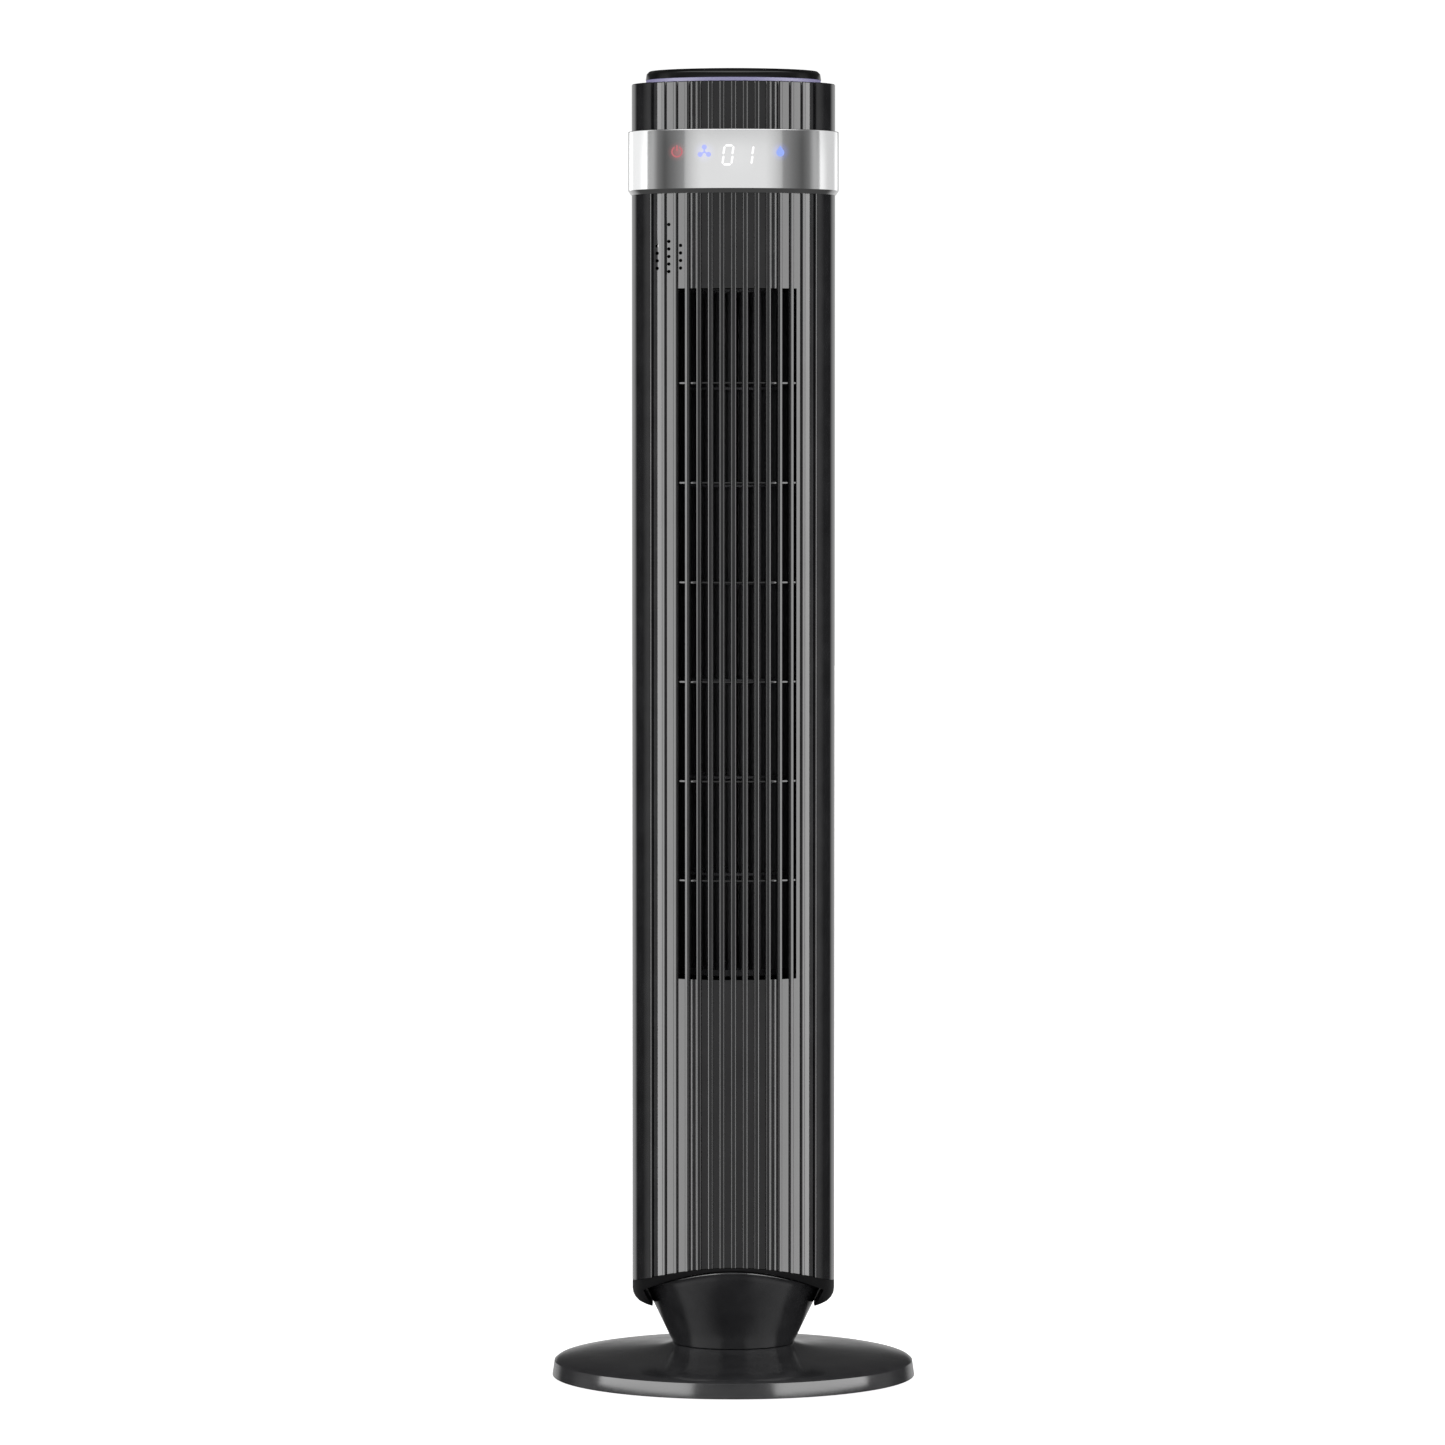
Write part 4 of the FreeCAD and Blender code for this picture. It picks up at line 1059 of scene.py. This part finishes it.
outline = cap_outline()
cap = raise_wall("ribbed_cap", outline + [outline[0]], drawn_to(FRONT_INNER_R),
                 [BAND_HIGH, CAP_TOP - CAP_BREAK, CAP_TOP])
bpy.ops.mesh.select_all(action="SELECT")
bpy.ops.mesh.remove_doubles(threshold=1e-6)
edit = bmesh.from_edit_mesh(cap.data)
for vertex in edit.verts:
    if abs(vertex.co.z - CAP_TOP) < 1e-6:
        flat = Vector((vertex.co.x, vertex.co.y))
        outer = flat.length > FRONT_INNER_R + 0.5 * MM
        drawn_in = flat.normalized() * (flat.length - (CAP_BREAK if outer else 0))
        vertex.co.x, vertex.co.y = drawn_in
bmesh.update_edit_mesh(cap.data)
finish_piece(cap, "column", gloss_black, "cap_shell", smooth=28)

deck_z = CAP_TOP - 0.2 * MM
deck_outline = [(GLOW_R + 0.2 * MM, deck_z - 2.3 * MM), (FRONT_INNER_R, deck_z - 2.3 * MM),
                (FRONT_INNER_R, deck_z), (GLOW_R + 0.2 * MM, deck_z)]
deck = turn("cap_deck", deck_outline, {2: 0.4 * MM, 3: 0.4 * MM})
finish_piece(deck, "column", gloss_black)

# %% [markdown]
# ## The silver band, the glowing ring and the lid
# All three are turned from an outline. The band has a wide lower bevel and a rounded upper edge,
# which catch the light as two thin lines. The lid's wall leans in a little, as a moulded wall
# must, so it mirrors the dark ceiling.

# %% Band, ring and lid
BAND_INNER_R = 81.0 * MM
SHELL_LAP_R = 82.75 * MM
RING_INNER_R = 66.5 * MM
LID_RIM = 1062.9 * MM
LID_CROWN = LID_RIM + 2.3 * MM

band_outline = [(BAND_INNER_R, SHELL_TOP), (SHELL_LAP_R, SHELL_TOP), (SHELL_LAP_R, BAND_LOW),
                (83.2 * MM, BAND_LOW), (BAND_R, BAND_LOW + 3.6 * MM), (BAND_R, BAND_HIGH),
                (BAND_INNER_R, BAND_HIGH)]
band = turn("touch_band", band_outline, {3: 0.2 * MM, 4: 0.6 * MM, 5: 0.8 * MM}, steps=256)
finish_piece(band, "column", silver, "control_band", smooth=35)

ring_outline = [(RING_INNER_R, GLOW_LOW), (GLOW_R, GLOW_LOW), (GLOW_R, GLOW_TOP),
                (RING_INNER_R, GLOW_TOP)]
ring = turn("glow_ring", ring_outline, {2: 0.4 * MM}, steps=256)
finish_piece(ring, "column", frosted, "light_diffuser")

dome_r = LID_R - 3 * MM
dome_rise = TOTAL_TOP - LID_CROWN
lid_outline = [(0.0, GLOW_TOP + 5 * MM), (LID_R - 8 * MM, GLOW_TOP + 3 * MM),
               (LID_R - 5 * MM, GLOW_TOP), (LID_R, GLOW_TOP), (LID_R - 0.8 * MM, LID_RIM),
               (dome_r, LID_CROWN)]
dome = []
for step in range(1, 9):
    r = dome_r * (1 - step / 8)
    dome.append((r, TOTAL_TOP - dome_rise * (r / dome_r) ** 2))
lid = turn("crown_lid", lid_outline + dome, {3: 0.3 * MM, 4: 1.6 * MM, 5: 1.4 * MM}, steps=256)
finish_piece(lid, "column", gloss_black, "top_lid", smooth=35)

# %% [markdown]
# ## The neck and the foot cap
# The neck is an upturned cone whose top edge follows the arched mouth of the foot cap. The cone
# is turned first, and then each ring of its points is lowered until it meets the arch, so the
# rounded edge runs along the arch without a break. The foot cap is turned too; its mouth and
# its arched top are cut with two prisms, and a Bevel modifier breaks the edges.

# %% Neck
NECK_LOW = 28.4 * MM
NECK_HIGH = 97.6 * MM
NECK_R = 49.5 * MM
NECK_SLOPE = 0.48
MOUTH_TOP = 96.2 * MM
MOUTH_SPRING = (73.4 * MM, 75.4 * MM)
LOBE_FOOT = (65.2 * MM, 60.4 * MM)
MOUTH_RISE = MOUTH_TOP - MOUTH_SPRING[1]
MOUTH_R = (MOUTH_SPRING[0] ** 2 + MOUTH_RISE ** 2) / (2 * MOUTH_RISE)
NECK_GAP = 0.7 * MM


def cone_r(z):
    return NECK_R + NECK_SLOPE * (z - NECK_LOW)


def mouth_height(x):
    reach = min(abs(x), MOUTH_SPRING[0])
    return MOUTH_TOP - MOUTH_R + math.sqrt(MOUTH_R ** 2 - reach ** 2)


def neck_top(share):
    """Height where the cone meets the mouth; share is |x| over the radius."""
    z = NECK_HIGH
    for _ in range(20):
        z = mouth_height(cone_r(z) * share) - NECK_GAP
    return z


shoulder = cone_r(NECK_HIGH)
neck_outline = [(18.0 * MM, NECK_LOW), (NECK_R, NECK_LOW)]
for step in range(1, 8):
    z = NECK_LOW + (NECK_HIGH - NECK_LOW) * step / 8
    neck_outline.append((cone_r(z), z))
neck_outline += [(shoulder, NECK_HIGH), (shoulder - 9 * MM, NECK_HIGH),
                 (shoulder - 9 * MM, NECK_HIGH - 4 * MM), (48.5 * MM, NECK_LOW + 4 * MM),
                 (18.0 * MM, NECK_LOW + 4 * MM)]
neck = turn("neck_trumpet", neck_outline, {1: 0.5 * MM, 9: 1.6 * MM, 10: 1.0 * MM}, steps=256)
edit = bmesh.from_edit_mesh(neck.data)
for vertex in edit.verts:
    flat = Vector((vertex.co.x, vertex.co.y))
    rise = (vertex.co.z - NECK_LOW - 4 * MM) / (NECK_HIGH - NECK_LOW - 4 * MM)
    if rise > 0:
        drop = rise * (NECK_HIGH - neck_top(abs(flat.x) / flat.length))
        flat = flat.normalized() * (flat.length - NECK_SLOPE * drop)
        vertex.co = (flat.x, flat.y, vertex.co.z - drop)
bmesh.update_edit_mesh(neck.data)
finish_piece(neck, "column", neck_black, "neck_cone", smooth=35)

# %% [markdown]
# ## The foot cap
# Under the arched edge a second skin closes the column. It is turned as a full cup, and two
# prisms then cut away the mouth over the neck and everything above the arch. The cup alone could
# be modelled point by point, but the two cuts keep both arches true circles. A Bevel modifier
# breaks the new edges.

# %% Foot cap
FOOT_LOW = 61.4 * MM
FOOT_SKIN_R = COLUMN_R - 0.15 * MM
CLASP_R = 78.3 * MM
PRISM_REACH = 95.0 * MM


def through_prism(name, outline):
    """Prism along Y through the column from an (x, z) outline."""
    flat = [(x, -PRISM_REACH, z) for x, z in outline]
    return prism(name, flat, (0, 2 * PRISM_REACH, 0))


def spread(x0, x1, steps):
    return [x0 + (x1 - x0) * step / steps for step in range(steps + 1)]


inner_top = NECK_LOW + (CLASP_R - 0.15 * MM - NECK_R) / NECK_SLOPE
foot_outline = [(cone_r(FOOT_LOW) + 0.6 * MM, FOOT_LOW), (FOOT_SKIN_R, FOOT_LOW),
                (FOOT_SKIN_R, 100 * MM), (CLASP_R, 100 * MM), (CLASP_R, inner_top)]
foot_cap = leave_edit(turn("foot_shroud", foot_outline, {1: 11.5 * MM}, steps=256))
mouth = [(x, mouth_height(x)) for x in spread(-MOUTH_SPRING[0], MOUTH_SPRING[0], 64)]
mouth += [LOBE_FOOT, (LOBE_FOOT[0], 0.0), (-LOBE_FOOT[0], 0.0), (-LOBE_FOOT[0], LOBE_FOOT[1])]
cut(foot_cap, through_prism("mouth_cutter", mouth))
lid_line = [(x, arch_height(x) - 0.35 * MM) for x in spread(-90 * MM, 90 * MM, 64)]
cut(foot_cap, through_prism("arch_cutter", lid_line + [(90 * MM, 120 * MM), (-90 * MM, 120 * MM)]))
bevel = foot_cap.modifiers.new("broken_edges", "BEVEL")
bevel.width = 0.5 * MM
bevel.segments = 3
bevel.limit_method = "ANGLE"
bevel.angle_limit = math.radians(45)
pick(foot_cap)
bpy.ops.object.modifier_apply(modifier=bevel.name)
finish_piece(foot_cap, "column", matt_black, "foot_cap", smooth=35)

# %% [markdown]
# ## The base
# The disc is turned from the same outline as its CAD shell: a low rim, a crisp edge and a top
# that flares into a trumpet under the neck. The edge is rounded by a fraction of a millimetre,
# which gives the thin bright line around it.

# %% Base disc
top_curve = [(146.6, 13.7), (141.5, 16.6), (125.0, 19.4), (100.0, 21.6), (75.0, 23.6),
             (60.0, 25.3), (50.0, BASE_TOP / MM)]


def smooth_through(points, steps=6):
    """Catmull-Rom curve through a few points."""
    result = []
    for index in range(len(points) - 1):
        p0 = Vector(points[max(index - 1, 0)])
        p1 = Vector(points[index])
        p2 = Vector(points[index + 1])
        p3 = Vector(points[min(index + 2, len(points) - 1)])
        for step in range(steps):
            t = step / steps
            result.append(0.5 * ((2 * p1) + (p2 - p0) * t + (2 * p0 - 5 * p1 + 4 * p2 - p3) * t ** 2
                                 + (3 * p1 - p0 - 3 * p2 + p3) * t ** 3))
    result.append(Vector(points[-1]))
    return result


curve = [(point.x * MM, point.y * MM) for point in smooth_through(top_curve)]
under = [(42.5, BASE_TOP / MM), (42.5, 25.6), (15.0, 25.6), (15.0, 22.6), (50.0, 22.6),
         (75.0, 20.4), (100.0, 18.6), (125.0, 16.6), (138.0, 14.0), (143.7, 11.0),
         (145.6, BASE_LOW / MM)]
base_outline = [(BASE_R, BASE_LOW)] + curve + [(r * MM, z * MM) for r, z in under]
base_disc = leave_edit(turn("base_disc", base_outline,
                            {0: 0.4 * MM, 1: 0.5 * MM, len(curve): 0.5 * MM}, steps=256))
cut(base_disc, rod((0, 148 * MM, 8.2 * MM), 4 * MM, 20 * MM, sides=40))
finish_piece(base_disc, "base", base_black, "base_cover", smooth=30)

# %% [markdown]
# ## Feet and screws
# Six rubber feet with a shallow ring moulded in, and pan-head screws with a cross recess, close
# the underside. Each is modelled once and copied.

# %% Feet and screws
FOOT_CIRCLE_R = 128 * MM
SCREW_CIRCLE_R = 133 * MM


def place_copies(master, places, name):
    """Join copies of a small part, each with its own mesh, moved to their places."""
    copies = []
    for place in places:
        copy = master.copy()
        copy.data = master.data.copy()
        bpy.context.collection.objects.link(copy)
        copy.location = place
        copies.append(copy)
    bpy.data.objects.remove(master)
    group = join(copies, name)
    pick(group)
    bpy.ops.object.transform_apply(location=True, rotation=False, scale=False)
    return group


foot_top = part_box("rubber_feet")[1][2]
foot_outline = [(0.0, foot_top), (11 * MM, foot_top), (11 * MM, 0.0), (8.5 * MM, 0.0),
                (7.8 * MM, 0.5 * MM), (6.6 * MM, 0.5 * MM), (5.9 * MM, 0.0), (0.0, 0.0)]
foot = leave_edit(turn("foot", foot_outline, {2: 0.5 * MM}, steps=48))


def circle_of_six(radius, first_angle, z):
    """Six places round the fan's axis."""
    angles = [math.radians(first_angle + 60 * i) for i in range(6)]
    return [(radius * math.cos(angle), radius * math.sin(angle), z) for angle in angles]


foot_places = circle_of_six(FOOT_CIRCLE_R, 0, 0)
feet = place_copies(foot, foot_places, "moulded_feet")
finish_piece(feet, "base", rubber, "rubber_feet")


def pan_screw(name, head_r, head_height, shank_r, length):
    """Pan-head screw that stands on its head, with a cross recess cut into it."""
    outline = [(0.0, 0.0), (head_r, 0.0), (head_r, head_height), (shank_r, head_height),
               (shank_r, length), (0.0, length)]
    screw = leave_edit(turn(name, outline, {1: head_height * 0.7}, steps=28))
    for width, depth in ((head_r * 1.1, head_r * 0.28), (head_r * 0.28, head_r * 1.1)):
        bpy.ops.mesh.primitive_cube_add(size=1.0, location=(0, 0, 0))
        bit = bpy.context.object
        bit.scale = (width, depth, head_height * 1.1)
        bpy.ops.object.transform_apply(location=False, rotation=False, scale=True)
        cut(screw, bit)
    return screw


under_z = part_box("base_screws")[0][2]
under_screw = pan_screw("under_screw", 3.2 * MM, 1.2 * MM, 1.7 * MM, 11.5 * MM)
under_places = circle_of_six(SCREW_CIRCLE_R, 30, under_z)
under_screws = place_copies(under_screw, under_places, "base_pan_screws")
finish_piece(under_screws, "base", plated_steel, "base_screws")

rear_screw = pan_screw("rear_screw", 3.5 * MM, 3.0 * MM, 1.6 * MM, 23.0 * MM)
pick(rear_screw)
rear_screw.rotation_euler = (math.pi / 2, 0, 0)
bpy.ops.object.transform_apply(location=False, rotation=True, scale=False)
rear_places = [(x, 55 * MM, z) for x in (-SCREW_X, SCREW_X) for z in SCREW_Z]
rear_screws = place_copies(rear_screw, rear_places, "cover_pan_screws")
finish_piece(rear_screws, "column", plated_steel, "shell_screws")

# %% [markdown]
# ## Finishes for the CAD nodes that stay
# What is inside keeps its CAD shape and gets the finish of its real material.

# %% Assign finishes
NODE_FINISHES = {
    gloss_black: ["handle_cup"],
    matt_black: ["cord_gland", "column_floor", "guide_wall", "stabiliser",
                 "serrated_strip", "lower_partition", "upper_partition", "motor_bracket",
                 "osc_motor_bracket"],
    signs: ["display_icons"],
    guide: ["light_guide"],
    impeller_grey: ["impeller_wheels", "impeller_hub", "impeller_end"],
    plated_steel: ["base_plate", "impeller_shaft", "swivel_post", "motor_can", "osc_motor",
                   "retaining_nut", "post_screws", "motor_screws", "osc_motor_screws"],
    cast_iron: ["base_ballast", "motor_rotor", "motor_stator"],
    rubber: ["motor_rubbers", "bearing_rubber", "wiring_harness"],
    acetal: ["swivel_bush", "slide_washer", "sun_gear", "osc_pinion"],
    bronze: ["motor_bushes", "upper_bush"],
    board: ["control_board", "led_ring_board", "power_board"],
    resin: ["power_board_parts", "display_leds", "speaker"],
}
for material, names in NODE_FINISHES.items():
    for name in names:
        for holder in frame["nodes"][name].material_slots:
            holder.link = "OBJECT"
            holder.material = material
print("CAD nodes finished:", sum(len(names) for names in NODE_FINISHES.values()))

# %% [markdown]
# ## Who is lit by which panel
# The band and its signs take their own panels, the base and the neck the low ones. The lid and
# the foot cap take the room's light only. Everything else takes the side panels.

# %% Light linking
BAND_PIECES = {"touch_band", "display_icons"}
BASE_PIECES = {"base_disc", "neck_trumpet"}
ROOM_LIT_PIECES = {"crown_lid", "foot_shroud"}
for item in bpy.data.objects:
    if item.type != "MESH" or item.name == "floor":
        continue
    if item.name in BAND_PIECES:
        band_lit.objects.link(item)
    elif item.name in BASE_PIECES:
        base_lit.objects.link(item)
    elif item.name not in ROOM_LIT_PIECES:
        fan_lit.objects.link(item)
